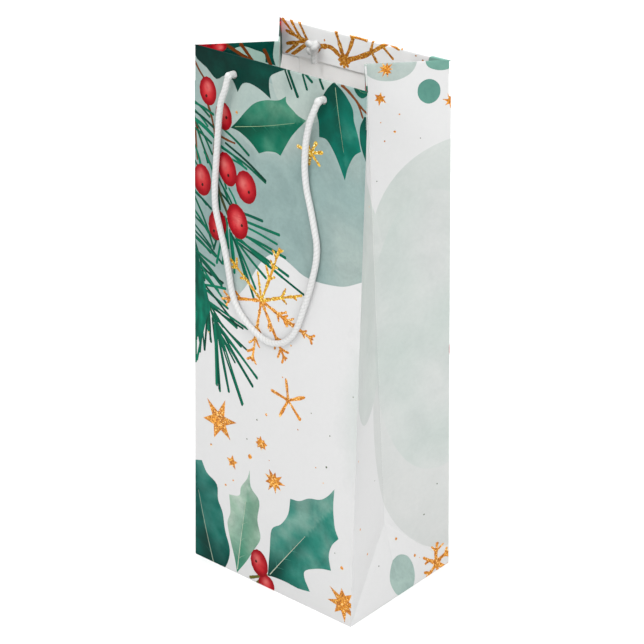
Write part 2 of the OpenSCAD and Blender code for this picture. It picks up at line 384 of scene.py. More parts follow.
def strip(pts, w0, w1, sub=5, rough=0.0, rnd=None):
    """A stroke of changing width along a line."""
    L = [Vector(p) for p in polyline(pts, sub)]
    n = len(L)
    a, b = [], []
    for i, p in enumerate(L):
        d = (L[min(n - 1, i + 1)] - L[max(0, i - 1)])
        d = d.normalized() if d.length else Vector((0, 1))
        q = Vector((-d.y, d.x))
        w = (w0 + (w1 - w0) * i / (n - 1)) / 2
        if rough and rnd:
            w *= 1 + rough * (rnd.random() - 0.5)
        a.append(tuple(p + q * w))
        b.append(tuple(p - q * w))
    d0 = (L[0] - L[1]).normalized() * (w0 * 0.4)
    d1 = (L[-1] - L[-2]).normalized() * (w1 * 0.4)
    return a + [tuple(L[-1] + d1)] + b[::-1] + [tuple(L[0] + d0)]

def mixc(a, b, t):
    t = clamp(t)
    return tuple(a[i] + (b[i] - a[i]) * t for i in range(3))

def leaf(out, anchors, rib, dark, mid, light, vein, flip=1, sub=4, wet=0.75, rib_w=0.42, veins=True):
    """Holly leaf: outline, shaded halves each side of the rib, rib, veins."""
    poly = smooth_outline(anchors, sub)
    R = [Vector(p) for p in polyline(rib, 6)]
    A, B = R[0], R[-1]
    ax = (B - A)
    L = ax.length
    ax = ax / L
    nx = Vector((-ax.y, ax.x))

    def near(s, v):
        p = Vector((s, v))
        best, sd = 1e9, 1
        for i in range(len(R) - 1):
            a, b = R[i], R[i + 1]
            d = b - a
            t = clamp((p - a).dot(d) / max(1e-9, d.length_squared))
            q = a + d * t
            r = (p - q).length
            if r < best:
                best, sd = r, (1 if d.x * (p.y - a.y) - d.y * (p.x - a.x) > 0 else -1)
        return best, sd

    def ink(s, v):
        r, sd = near(s, v)
        t = (Vector((s, v)) - A).dot(ax) / L
        n1 = noise.noise(Vector((s * 0.10, v * 0.10, 2.0)))
        n2 = noise.noise(Vector((s * 0.3, v * 0.3, 7.0)))
        up = sd * flip > 0
        c = mixc(mid, light, 0.22 + 0.7 * n1 + 0.2 * n2 + (0.34 if up else -0.10) + 0.25 * clamp(t - 0.35))
        k = (1 - smooth(r / (0.17 * L))) * clamp(1.1 - t) * (0.45 if up else 0.85)
        c = mixc(c, dark, k)
        return mixc(c, dark, 0.72 * (1 - smooth(t / 0.45)))

    g = 2.0
    x0, y0 = min(p[0] for p in poly), min(p[1] for p in poly)
    x1, y1 = max(p[0] for p in poly), max(p[1] for p in poly)
    pts = []
    x = x0 + g / 2
    while x < x1:
        y = y0 + g / 2
        while y < y1:
            if inside(poly, x, y):
                pts.append((x, y))
            y += g
        x += g
    out.append(Shape(poly, ink, wet, pts=pts))
    m = len(R)
    for k in range(1, 4 if veins else 1):     # faint side veins
        i = int(m * (0.14 + 0.17 * k))
        d = (R[i + 1] - R[i - 1]).normalized()
        for sg in (-1, 1):
            q = Vector((d.x * 0.72 - sg * d.y * 0.69, d.y * 0.72 + sg * d.x * 0.69))
            ln = L * 0.10
            end = R[i] + q * ln
            if inside(poly, *(R[i] + q * ln * 1.3)):
                c = mixc(mid, vein, 0.16)
                out.append(Shape(strip([tuple(R[i]), tuple((R[i] + end) / 2 + d * 0.4), tuple(end)], 0.36, 0.10, 3), c, 0.5))
    out.append(Shape(strip([tuple(p) for p in (R[1], R[m // 2], R[int(m * 0.86)])], rib_w * 0.8, rib_w * 0.3, 6), vein, 0.5))

def berry(out, cx, cy, rx, ry, tilt, dot=(0.1, -0.45), hi=(-0.25, 0.30), tone=0.0):
    ca, sa = math.cos(math.radians(tilt)), math.sin(math.radians(tilt))
    def at(a, r):
        x, y = rx * r * math.cos(a), ry * r * math.sin(a)
        return (cx + x * ca - y * sa, cy + x * sa + y * ca)
    def loc(s, v):
        x, y = s - cx, v - cy
        return ((x * ca + y * sa) / rx, (-x * sa + y * ca) / ry)
    def ink(s, v):
        x, y = loc(s, v)
        r = math.hypot(x, y)
        h = math.hypot(x - hi[0], y - hi[1])
        c = mixc((224, 62, 66), (160, 8, 24), smooth((r - 0.25) / 0.78))
        c = mixc((238, 132, 126), c, smooth(h / 0.7) * 0.85 + 0.15)
        n = noise.noise(Vector((s * 0.35, v * 0.35, 4.0)))
        c = mixc(c, (150, 8, 24), clamp(0.45 * n + 0.20 * smooth((r - 0.72) / 0.25) + 0.25 * clamp(-y) * r + tone))
        return c
    poly = [at(2 * math.pi * k / 28, 1 + 0.02 * math.sin(3 * k)) for k in range(28)]
    pts = [at(2 * math.pi * (k + 0.5 * (j % 2)) / 16, r) for j, r in enumerate((0.12, 0.26, 0.4, 0.54, 0.68, 0.8, 0.91)) for k in range(18)]
    out.append(Shape(poly, ink, 0.30, pts=pts))
    dx, dy = dot[0] * rx, dot[1] * ry
    dcx, dcy = cx + dx * ca - dy * sa, cy + dx * sa + dy * ca
    star = []
    for k in range(14):
        a = 2 * math.pi * k / 14
        r = (1.15 if k % 2 else 0.7)
        star.append((dcx + r * math.cos(a), dcy + r * 1.1 * math.sin(a)))
    out.append(Shape(star, (52, 24, 20), 0.2))

def needle(out, a, b, w=1.25, bend=0.0, rnd=None, tone=None):
    A, B = Vector(a), Vector(b)
    d = B - A
    q = Vector((-d.y, d.x)) * bend
    c = tone or (0, 106, 82)
    j = (rnd.random() - 0.5) if rnd else 0
    col = (clamp(c[0] + 10 * j, 0, 255), clamp(c[1] + 34 * j, 0, 255), clamp(c[2] + 30 * j, 0, 255))
    out.append(Shape(strip([tuple(A), tuple((A + B) / 2 + q), tuple(B)], w * 1.05, w * 1.25, 4), col, 0.45))

def gold_stroke(out, pts, w0, w1, rnd, sub=3):
    out.append(Shape(strip(pts, w0, w1, sub, 0.55, rnd), WHITE, 0, gold=True))

def gold_star(out, cx, cy, R, r, n, rot, rnd, jag=0.12):
    poly = []
    for k in range(2 * n):
        a = math.radians(rot) + math.pi * k / n
        q = (R * (1 + jag * (rnd.random() - 0.5)) if k % 2 == 0 else r * (1 + 0.3 * (rnd.random() - 0.5)))
        poly.append((cx + q * math.cos(a), cy + q * math.sin(a)))
    out.append(Shape(poly, WHITE, 0, gold=True))

def gold_thin_star(out, cx, cy, R, n, rot, rnd, w=2.6):
    for k in range(n):
        a = math.radians(rot) + 2 * math.pi * k / n
        q = R * (1 + 0.22 * (rnd.random() - 0.5))
        gold_stroke(out, [(cx, cy), (cx + q * math.cos(a), cy + q * math.sin(a))], w * 0.75, w * 0.8, rnd)

def gold_flake(out, cx, cy, R, n, rot, rnd, w=1.5, levels=(0.40, 0.60, 0.80), reach=0.30, gap=None):
    for k in range(n):
        a = math.radians(rot) + 2 * math.pi * k / n
        q = R * (1 + 0.10 * (rnd.random() - 0.5))
        d = Vector((math.cos(a), math.sin(a)))
        c = Vector((cx, cy))
        if gap and k in gap:
            q *= gap[k]
        gold_stroke(out, [tuple(c + d * 0.5), tuple(c + d * q)], w, w * 0.7, rnd, 6)
        for lv in levels:
            for sg in (-1, 1):
                if rnd.random() < 0.12:
                    continue
                b = a + sg * math.radians(46 + 10 * rnd.random())
                ln = reach * q * (1.25 - lv) * (0.8 + 0.5 * rnd.random())
                p = c + d * (q * lv)
                gold_stroke(out, [tuple(p), tuple(p + Vector((math.cos(b), math.sin(b))) * ln)], w * 0.72, w * 0.5, rnd)

def gold_arms(out, c, tips, rnd, w):
    """Hand-drawn snowflake: each arm has its own length and a few twigs."""
    C = Vector(c)
    for k, tp in enumerate(tips):
        T = Vector(tp)
        d = T - C
        L = d.length
        u = d / L
        q = Vector((-u.y, u.x))
        pale = (255, 292, 250) if T.y > C.y + 8 else WHITE
        bend = q * (L * 0.03 * (rnd.random() - 0.5))
        out.append(Shape(strip([c, tuple(C + d * 0.5 + bend), tp], w * 0.9, w * 0.7, 8, 0.6, rnd), pale, 0, gold=True))
        if L < 20:
            continue
        for lv in ((0.42, 0.62, 0.80, 0.93) if L > 34 else (0.5, 0.78)):
            for sg in (-1, 1):
                if rnd.random() < 0.16:
                    continue
                a = math.radians(38 + 16 * rnd.random()) * sg
                v = Vector((u.x * math.cos(a) - u.y * math.sin(a), u.x * math.sin(a) + u.y * math.cos(a)))
                ln = (3.6 + 5.2 * rnd.random()) * (1.15 - 0.45 * lv)
                p = C + d * lv + bend * 0.5
                out.append(Shape(strip([tuple(p), tuple(p + v * ln * 0.6 + u * 0.3), tuple(p + v * ln)], w * 0.72, w * 0.62, 4, 0.6, rnd), pale, 0, gold=True))

def speck(out, cx, cy, r, col=None, rnd=None):
    poly = [(cx + r * (0.8 + 0.4 * rnd.random()) * math.cos(a), cy + r * (0.8 + 0.4 * rnd.random()) * math.sin(a))
            for a in [2 * math.pi * k / 8 for k in range(8)]]
    out.append(Shape(poly, col or WHITE, 0.1, gold=col is None))

def ellipse(cx, cy, rx, ry, n=44, wob=0.02, seed=1.0):
    return [(cx + rx * (1 + wob * noise.noise(Vector((math.cos(a) * 1.5, math.sin(a) * 1.5, seed)))) * math.cos(a),
             cy + ry * (1 + wob * noise.noise(Vector((math.cos(a) * 1.5, math.sin(a) * 1.5, seed + 9)))) * math.sin(a))
            for a in [2 * math.pi * k / n for k in range(n)]]

# ------------------------------------------------------------- the artwork
def front_art():
    rnd = random.Random(11)
    o = []
    sage = (160, 183, 180)
    sage_l = (184, 199, 194)

    def wash(s, v):
        n = noise.noise(Vector((s * 0.022, v * 0.022, 1.3)))
        n2 = noise.noise(Vector((s * 0.06, v * 0.06, 4.3)))
        c = mixc(sage, sage_l, 0.35 + 1.1 * n + 0.45 * n2 + 0.25 * clamp((v - 270) / 60) - 0.25 * clamp((s - 10) / 50))
        fade = clamp((215 - v) / 55) * clamp((5 - s) / 40)
        return mixc(c, (226, 229, 229), 0.85 * smooth(fade))
    edge = [(-70, 160), (-58, 166), (-46, 172), (-34, 181), (-22, 194), (-10, 213), (0, 221), (6.5, 220), (14, 217),
            (22, 213.5), (32, 212.5), (43.5, 213.5), (52.5, 215.5), (63.5, 221), (72, 225)]
    low = polyline(edge, 5)
    grid = [(x, y) for x in range(-62, 64, 6) for y in range(140, 330, 6)]
    o.append(Shape(low + [(72, 360), (-70, 360)], wash, 0.42, pts=grid))
    # overlapping paler and darker pools in the wash
    def pool(c1, c2, cx, cy, r):
        def f(s, v):
            q = math.hypot(s - cx, v - cy) / r
            n = noise.noise(Vector((s * 0.05, v * 0.05, cx)))
            return mixc(c1, c2, clamp(q * q + 0.5 * n))
        return f
    o.append(Shape(ellipse(-10, 300, 25, 21, 48, 0.05, 2), pool((180, 198, 193), (190, 204, 199), -12, 296, 30), 0.4))
    o.append(Shape(ellipse(18, 330, 24, 27, 48, 0.05, 3), pool((186, 202, 196), (198, 210, 204), 18, 330, 26), 0.4))
    # faint shading under the bottom right of the wash
    def mist(s, v):
        q = clamp((math.hypot((s - 74) / 28, (v - 140) / 66)))
        return mixc((218, 226, 222), WHITE, smooth(q))
    o.append(Shape(ellipse(74, 140, 28, 66, 48), mist, 0.10, pts=[(x, y) for x in range(48, 64, 4) for y in range(80, 206, 6)]))
    # brown stems
    brown, brown_d = (122, 68, 34), (92, 50, 28)
    def stem(pts, w0=1.1, w1=0.9, c=brown):
        o.append(Shape(strip(pts, w0 * 1.45, w1 * 1.35, 5, 0.25, rnd), c, 0.5))
    stem([(-64.5, 322), (-60, 316), (-55.5, 311.5)], 1.0)
    stem([(-57, 303), (-52, 295), (-49, 287), (-47.5, 279), (-48.5, 268)], 1.3)
    stem([(-64.5, 289), (-61, 280), (-56, 270), (-50, 260), (-45, 251), (-41, 241)], 1.2, 1.2, brown_d)
    stem([(-43, 280.5), (-37, 279.5), (-31.5, 279)], 1.1)
    stem([(-63, 280), (-61.5, 262)], 1.0)
    stem([(45, 330), (50, 327.5), (55, 324), (60, 320), (64.5, 317.5)], 1.3)
    stem([(54, 325), (57.5, 321), (60.5, 315)], 0.9)
    # needles of the upper branch
    tone_d = (0, 80, 64)
    def fan(branch, tips, w=1.35, c=None):
        B = [Vector(p) for p in polyline(branch, 8)]
        for tp in tips:
            T = Vector(tp)
            best = min(range(len(B)), key=lambda i: abs((T - B[i]).length - 0.9 * (T - B[-1]).length) if i < len(B) - 2 else 1e9)
            best = max(0, min(len(B) - 1, best))
            b = B[best]
            needle(o, tuple(b), tp, w * (0.9 + 0.3 * rnd.random()), 0.05 * (rnd.random() - 0.3), rnd, c)
    # small needle tufts between the stems at the top left
    for a, b in [((-64.5, 297), (-51.5, 290)), ((-64.5, 292), (-53, 284)), ((-64.5, 287), (-49, 280)), ((-62, 284), (-49.5, 268)),
                 ((-61, 279), (-53, 262)), ((-64.5, 272), (-58, 258)), ((-43, 275), (-25, 267.5)), ((-42, 274), (-7.5, 261.5)),
                 ((-34, 269), (-22, 266)), ((-56, 268), (-48, 256)), ((-44, 262), (-38, 250)), ((-45, 256), (-36, 242)),
                 ((-42, 252), (-31, 238)), ((-46, 250), (-43, 236)), ((-36, 251), (-29, 241)), ((-64.5, 249), (-56, 243)),
                 ((-64.5, 243), (-54, 236)), ((-64.5, 262), (-55, 249)), ((-62, 268), (-58, 252))]:
        needle(o, a, b, 1.25, 0.04, rnd)
    for k, (a, b) in enumerate([((-64.5, 242), (-50, 234.5)), ((-64.5, 240), (-48, 211)), ((-64.5, 227), (-46.5, 216)), ((-64.5, 218), (-41, 203)),
                              ((-64.5, 215), (-50.5, 207)), ((-64.5, 205), (-41, 190)), ((-64.5, 213), (-55.5, 188)), ((-64.5, 196), (-45, 185)),
                              ((-64.5, 296), (-48.5, 292)), ((-64.5, 291), (-48.5, 284.5)), ((-64.5, 286), (-47, 278)), ((-64.5, 281), (-50, 274.5)),
                              ((-39, 277.5), (-7.5, 262.5)), ((-42, 286), (-20.5, 274.5)), ((-45, 248), (-38, 236.5)), ((-43.5, 247), (-33.5, 240))]):
        needle(o, a, b, 1.35, 0.03, rnd, tone_d if k % 3 == 0 else None)
    stem([(-46, 252), (-41, 242), (-34, 230), (-29, 221)], 1.6, 1.0, (70, 74, 50))
    A0 = [(-44, 246), (-41, 242), (-34, 230), (-29, 221)]
    for k, tp in enumerate([(-48, 210), (-40.5, 203), (-45.5, 202), (-32, 206), (-15.5, 189), (-14, 195), (2, 227), (3.5, 233),
                            (-9.5, 238), (-1.5, 220), (8.5, 220.5), (11, 210), (22.5, 202), (6.5, 208), (-31, 200), (-22, 199),
                            (-26, 211), (-36, 214), (-4, 213), (-6, 204)]):
        base = [(-39, 233), (-37, 230), (-39, 228), (-35, 226), (-32, 222), (-31, 221), (-33, 232), (-34, 235), (-36, 238),
                (-32, 228), (-31, 226), (-30, 222), (-29, 220), (-30, 224), (-34, 224), (-31, 220), (-34, 224), (-38, 232),
                (-31, 224), (-30, 221)][k]
        needle(o, base, tp, 1.5 if k % 3 else 1.25, 0.05 * (rnd.random() - 0.4), rnd, tone_d if k % 4 == 0 else None)
    # needles of the lower branch
    stem([(-64.5, 205), (-59.5, 191), (-52.5, 176), (-48.5, 167), (-44.5, 158)], 1.5, 0.9, (60, 84, 56))
    for k, (b, tp) in enumerate([((-46, 161), (-45, 123)), ((-45.5, 160), (-42.5, 120)), ((-45, 160), (-35, 122)), ((-45, 159), (-24, 117)),
                                 ((-45, 160), (-15.5, 132)), ((-46, 162), (-12, 139)), ((-49, 168), (-19.5, 154)), ((-50, 170), (-25, 155)),
                                 ((-52, 175), (-28.5, 166)), ((-51, 173), (-23.5, 167)), ((-57, 185), (-38, 188)), ((-55, 181), (-50, 150)),
                                 ((-60, 190), (-55.5, 143)), ((-60, 188), (-63, 133)), ((-62, 195), (-62.5, 148)), ((-61, 196), (-40, 191)),
                                 ((-60, 193), (-44, 185)), ((-58, 187), (-52, 156)), ((-64, 200), (-50, 193)), ((-64.5, 206), (-47, 200)),
                                 ((-64.5, 214), (-46, 206)), ((-64.5, 222), (-50, 211)), ((-64.5, 231), (-52, 219)), ((-64.5, 196), (-59, 168)),
                                 ((-64.5, 186), (-60, 158)), ((-56, 183), (-36, 176)), ((-54, 178), (-40, 163)), ((-47, 164), (-30, 143)),
                                 ((-64.5, 176), (-62, 150)), ((-50, 170), (-38, 148))]):
        needle(o, b, tp, 1.45 if k % 3 else 1.2, 0.04 * (rnd.random() - 0.5), rnd, tone_d if k % 3 == 0 else None)
    for k, (a, b) in enumerate([((-64, 204), (-41, 188.5)), ((-62.5, 200.5), (-37, 178.5)), ((-61, 189), (-28.5, 167)), ((-51.5, 175.5), (-20, 168)),
                              ((-49, 166), (-43, 121)), ((-47, 165), (-45.5, 123.5)), ((-46.5, 165.5), (-35, 122.5)), ((-45.5, 165.5), (-23.5, 118)),
                              ((-45, 164.5), (-15.5, 132.5)), ((-43, 162.5), (-12, 138.5)), ((-53, 172.5), (-55.5, 143)), ((-54, 172), (-62, 134.5)),
                              ((-52, 172.5), (-50.5, 151)), ((-58, 181), (-61, 158)), ((-56, 178), (-59.5, 140.5)), ((-64, 204), (-62, 173.5))]):
        needle(o, a, b, 1.35, 0.03 * (rnd.random() - 0.5), rnd, tone_d if k % 2 == 0 else None)
    def feather(s, v):
        return mixc((8, 84, 70), (40, 132, 108), 0.5 + noise.noise(Vector((s * 0.3, v * 0.12, 1))))
    o.append(Shape([(-64.5, 214), (-61, 203), (-57.5, 192), (-53, 180), (-50.5, 171), (-54, 163), (-57, 152), (-60, 146), (-61.5, 152), (-64.5, 146)], feather, 0.8))
    # short needles hanging from the top edge
    for a, b, w in [((6.5, 331), (14.5, 316.5), 1.6), ((17, 331), (21, 322), 1.3), ((18.5, 331), (24.5, 327), 1.4), ((29, 331), (32.5, 325), 1.4),
                    ((4, 331), (10, 320), 1.1)]:
        needle(o, a, b, w, 0.0, rnd, tone_d)
    # holly leaves at the top
    vein = (150, 178, 140)
    leaf(o, [(-64.5, 326), (-54, 318.5), (-46.5, 313.5), (-40, 317), (-34, 315.5), (-30, 309.5), (-26.5, 315), (-21, 316.5),
             (-12.5, 314.5), (-5, 311), (-6.5, 317.5), (-6, 323.5), (-1, 327), (4, 329.5), (2, 352), (-66, 352)],
         [(-70, 340), (-40, 335), (10, 336)], (2, 40, 36), (4, 62, 54), (12, 84, 72), vein, sub=3, wet=0.9, veins=False)
    leaf(o, [(-35, 287.5), (-30, 292.5), (-23, 300.5), (-17, 306), (-9, 309.5), (0.5, 311.5), (6, 315), (6.5, 311.5),
             (11, 308.5), (15, 306), (21, 304.5), (13.5, 296.5), (9, 290.5), (3, 280), (-1, 281), (-7.5, 280), (-13, 277.5), (-18.5, 282),
             (-24, 285), (-29.5, 287)],
         [(-34.5, 288), (-17.5, 293), (-1.5, 296), (20, 304)], (4, 68, 52), (38, 112, 90), (112, 158, 136), (170, 196, 156), flip=1)
    leaf(o, [(39.5, 330.5), (34, 324), (28.5, 312.5), (30, 305), (30.5, 297.5), (36, 297), (41.5, 291), (45.5, 284.5), (49.5, 277),
             (51.5, 285), (55.5, 292.5), (60, 296), (57.5, 304.5), (54.5, 312), (53.5, 318), (50, 323), (45, 327.5)],
         [(40.5, 330), (42.5, 316), (46, 304), (49, 287)], (2, 64, 54), (16, 96, 82), (72, 138, 122), (176, 196, 162), flip=1)
    leaf(o, [(61.5, 316), (58.7, 309), (59.5, 300), (64, 290), (72, 294), (72, 316)], [(66, 318), (66, 300), (65, 290)],
         (4, 60, 52), (12, 88, 76), (40, 118, 102), vein)
    leaf(o, [(52.5, 331.5), (56, 327), (60.5, 326), (66, 331.5)], [(52, 332), (60, 329), (66, 331)], (2, 62, 52), (6, 86, 70), (24, 108, 90), vein, rib_w=0.2)
    # berries
    berry(o, -53, 305, 6.6, 8.4, 8, (-0.25, -0.35), (0.05, 0.3))
    berry(o, -40.5, 293, 6.3, 8.2, 12, (0.3, -0.1), (0.1, 0.35))
    berry(o, -57.5, 250.5, 7.2, 9.6, 4, (0.0, -0.3), (-0.15, 0.35))
    berry(o, -37.5, 262, 7.2, 10.2, 22, (-0.05, -0.35), (-0.15, 0.3))
    berry(o, -22.5, 255, 8.0, 9.8, 14, (0.2, -0.3), (-0.25, 0.25))
    berry(o, -45, 226, 7.2, 9.6, -8, (-0.3, -0.5), (0.2, -0.1), 0.05)
    berry(o, -29, 232.5, 8.0, 10.6, 20, (0.35, -0.25), (0.05, 0.1))
    # bottom group
    leaf(o, [(-64.5, 66), (-58, 68), (-53.5, 61), (-45, 56), (-44, 46), (-40, 38), (-38, 26.5), (-34, 14), (-37, 2), (-44, -4), (-66, -4)],
         [(-46, -6), (-50, 4), (-54.5, 21.5), (-59.5, 37), (-62, 56)], (2, 50, 44), (20, 90, 80), (84, 138, 128), (190, 202, 180), flip=-1, rib_w=0.7)
    leaf(o, [(-17.5, 76), (-16.5, 65), (-9.5, 57.5), (-11, 44), (-8.5, 32.5), (-14, 22), (-20.5, 11), (-28, 0.5), (-30, 10), (-33.5, 21.5),
             (-36, 33), (-33.5, 41), (-34.5, 53), (-26, 55.5), (-24.5, 62), (-19.5, 69.5)],
         [(-28, 1), (-26, 14), (-23.5, 36), (-19, 62)], (76, 138, 114), (144, 180, 158), (196, 214, 200), (216, 222, 200), flip=1, rib_w=0.7)
    leaf(o, [(-2.5, 8.5), (-1, 27), (0.5, 42), (8, 48.5), (13.5, 57.5), (15, 68.5), (22, 69.5), (29.5, 74), (37.5, 76), (43.5, 80.5),
             (48.5, 87), (48, 74.5), (49.5, 62), (52.5, 55.5), (47.5, 49), (45.5, 41), (47.5, 32), (39, 30), (28, 24.5), (27, 19),
             (31.5, 11), (22, 9.5), (12, 10), (2.5, 9.5)],
         [(-2, 8.5), (6, 19), (16, 33), (33, 55)], (2, 52, 44), (66, 134, 121), (132, 172, 160), (204, 212, 190), flip=1, rib_w=0.75)
    stem([(-17, 1.5), (-10, 5), (-3, 9)], 1.6, 1.0, (120, 116, 52))
    stem([(-13, -2), (-8, 4)], 1.2, 1.0, (120, 108, 50))
    berry(o, -3.5, 1.5, 6.6, 7.0, 0, (0.5, -0.9), (-0.1, 0.3))
    berry(o, -9.5, 14.5, 7.0, 9.2, 12, (-0.35, 0.1), (-0.25, 0.3))
    # gold
    gold_arms(o, (-9.5, 189), [(4, 225), (-12.5, 206), (-34.5, 208), (-41, 181), (-16, 149), (3.5, 167), (10, 157.5), (15, 180),
                               (30, 176.5), (21, 201)], random.Random(4), 2.35)
    gold_star(o, -43, 100.5, 15.5, 6.4, 6, 12, random.Random(7), 0.22)
    gold_thin_star(o, 12.5, 132.5, 14, 5, 98, random.Random(8), 2.7)
    for a in (14, 62, 118, 170, 205, 262, 318):
        r = 6.5 + 3.5 * rnd.random()
        out_ = (25 + r * math.cos(math.radians(a)), 287 + r * math.sin(math.radians(a)))
        o.append(Shape(strip([(25, 287), out_], 1.5, 2.1, 5, 0.6, rnd), (275, 335, 410), 0, gold=True))
    gold_star(o, -8.5, 97, 4.6, 3.0, 8, 5, random.Random(2), 0.3)
    gold_star(o, -32, 76, 4.6, 2.2, 5, 15, random.Random(5), 0.3)
    speck(o, -17.5, 85, 1.7, None, rnd)
    gold_star(o, 2, 75.5, 8.2, 3.9, 9, 0, random.Random(6), 0.4)
    gold_star(o, 57.2, 13.5, 12.0, 5.6, 8, 8, random.Random(9), 0.3)
    for cx, cy, r in [(-4.5, 117.5, 0.9), (-37.5, 58.5, 0.8), (-50, 81.5, 0.9), (55.5, 37, 1.2), (-31, 64, 0.7), (14, 168, 0.6),
                      (-30.5, 297.5, 0.9), (20, 116, 0.5), (-2, 88, 0.4), (34, 96, 0.5), (40, 88, 0.4), (-52, 156, 0.5), (8, 146, 0.5)]:
        speck(o, cx, cy, r, None, rnd)
    for cx, cy, r in [(-12, 111.5, 0.6), (44, 120, 0.5), (42, 99, 0.7), (30, 130, 0.4), (-20, 96, 0.5), (50, 45, 0.4), (60, 150, 0.4)]:
        speck(o, cx, cy, r, (112, 120, 100), rnd)
    return o

def side_art():
    """Print on the gusset, s from 63.5 to 158.5."""
    rnd = random.Random(23)
    o = []
    def soft(c, cx, cy, rx, ry, core=0.75, k=1.0):
        def f(s, v):
            q = math.hypot((s - cx) / rx, (v - cy) / ry)
            n = noise.noise(Vector((s * 0.03, v * 0.03, cx)))
            return mixc(c, (226, 229, 227), clamp(0.15 + 0.35 * q + 0.8 * n) * k)
        return f
    pale = (206, 217, 211)
    pts = lambda x0, x1, y0, y1: [(x, y) for x in range(x0, x1, 6) for y in range(y0, y1, 6)]
    o.append(Shape(ellipse(163, 114, 62, 101, 64, 0.05, 4), soft((226, 228, 226), 163, 114, 62, 101), 0.10, pts=pts(98, 160, 16, 214)))
    o.append(Shape(ellipse(176, 213, 70, 73, 64, 0.03, 5), soft((214, 223, 218), 176, 213, 70, 73), 0.16, pts=pts(108, 160, 146, 282)))
    o.append(Shape(ellipse(90, 196, 30, 72, 64, 0.05, 6), soft((218, 226, 221), 90, 196, 30, 72), 0.16, pts=pts(64, 120, 126, 266)))
    o.append(Shape(ellipse(149, 163, 42, 92, 64, 0.03, 7), soft((213, 223, 218), 149, 163, 42, 92), 0.16, pts=pts(110, 160, 76, 252)))
    o.append(Shape(ellipse(70, 300, 26, 90, 48, 0.05, 8), soft((214, 221, 217), 70, 300, 26, 90), 0.2, pts=pts(64, 96, 214, 330)))
    o.append(Shape(ellipse(123.5, 331, 16, 11.5, 44, 0.03, 2), (196, 209, 204), 0.35))
    o.append(Shape(ellipse(146, 312.5, 6.6, 7.2, 32, 0.04, 3), (112, 160, 148), 0.45))
    o.append(Shape(ellipse(153, 330, 9, 5.6, 32, 0.04, 5), (128, 170, 158), 0.45))
    o.append(Shape(ellipse(116, 10, 11.5, 13, 44, 0.05, 6), (178, 200, 193), 0.45))
    leaf(o, [(58, 316), (58, 292), (64, 289), (69, 294), (71, 304), (69.5, 315), (64, 318)], [(66, 317), (66, 302), (65, 291)],
         (4, 60, 52), (12, 88, 76), (40, 118, 102), (150, 178, 140))
    leaf(o, [(58, 333), (58, 326), (66, 324.5), (73, 327), (75, 334)], [(60, 331), (66, 328), (73, 329)], (2, 62, 52), (6, 86, 70), (24, 108, 90), (150, 178, 140), rib_w=0.2)
    gold_star(o, 122, 326.5, 5.0, 2.2, 9, 0, random.Random(31), 0.5)
    gold_star(o, 118, 310, 4.0, 1.8, 6, 20, random.Random(32), 0.4)
    gold_flake(o, 148, 4, 14, 6, 22, random.Random(33), 3.0, (0.58,), 0.55)
    berry(o, 161.4, 150, 3.3, 8.6, 0)
    gold_star(o, 158.5, 306, 4.5, 2.0, 7, 10, random.Random(34), 0.4)
    gold_star(o, 65, 262, 3.0, 1.2, 5, 10, random.Random(35), 0.4)
    gold_star(o, 88, 288, 4.2, 1.6, 5, 33, random.Random(36), 0.3)
    for cx, cy, r in [(117.5, 33.5, 1.0), (130.5, 17, 1.0), (126, 290, 0.8), (120, 285, 0.5), (129, 300, 0.5), (118, 296, 0.4),
                      (75, 60, 0.8), (86, 38, 0.9), (104, 250, 0.6), (72, 106, 0.7), (134, 14, 0.4), (66.5, 246, 0.9), (67, 236, 0.6)]:
        speck(o, cx, cy, r, None, rnd)
    for cx, cy, r in [(140, 42, 0.6), (98, 24, 0.5), (114.5, 262, 0.4), (150, 60, 0.5), (100, 80, 0.4), (141, 285, 0.35)]:
        speck(o, cx, cy, r, (120, 126, 116), rnd)
    return o

def hem_art():
    """Print on the turned-in top of the wide panels."""
    rnd = random.Random(41)
    o = []
    C = (13, 347.5)
    def g(pts, w0=2.6, w1=2.2):
        gold_stroke(o, pts, w0, w1, rnd, 5)
    g([C, (22, 341.5), (30, 342), (32, 344)], 2.8, 2.4); g([(30, 342), (35.5, 348)]); g([(26, 341.5), (32, 343)])
    g([C, (16, 338), (20.5, 326)], 2.8, 2.2); g([(19.5, 329), (31, 329.5)], 2.2, 1.8)
    g([C, (8, 338), (3.5, 326)], 2.6, 2.4); g([(5.5, 331), (-4.5, 331.5)], 2.4, 2.0); g([(6, 333), (10, 328)], 1.8, 1.6)
    g([C, (-4, 340), (-23, 327.5)], 3.0, 2.2); g([(-7, 338), (-10, 328)], 2.0, 1.6); g([(-8, 338), (-14, 346.5)], 2.0, 1.6)
    g([(-16, 332.5), (-23.5, 338.5)], 2.2, 1.8); g([(-20, 329.5), (-28, 332)], 2.2, 1.8)
    for a in range(0, 360, 45):
        g([C, (C[0] + 4 * math.cos(math.radians(a)), C[1] + 4 * math.sin(math.radians(a)))], 3.2, 2.0)
    E = (40, 342)
    g([E, (57, 338)], 2.6, 2.2); g([E, (49, 327)], 2.2, 1.8); g([(46, 340.5), (56, 327)], 2.2, 1.8)
    g([(44, 342), (57, 346)], 2.2, 2.0); g([E, (53, 352)], 2.4, 2.2); g([(51, 339), (60, 331)], 2.0, 1.8); g([(48, 344), (58, 352)], 2.0, 1.8)
    g([E, (36, 348)], 2.0, 1.6)
    for cx, cy, r in [(27.5, 338, 0.7), (-28, 345, 0.9), (-30, 331, 0.8), (-40, 333, 0.6), (-45, 335, 0.8), (-36, 340, 0.5)]:
        speck(o, cx, cy, r, None, rnd)
    o.append(Shape(ellipse(-58, 334, 9, 5.5, 32, 0.04, 5), (128, 170, 158), 0.45))
    return o

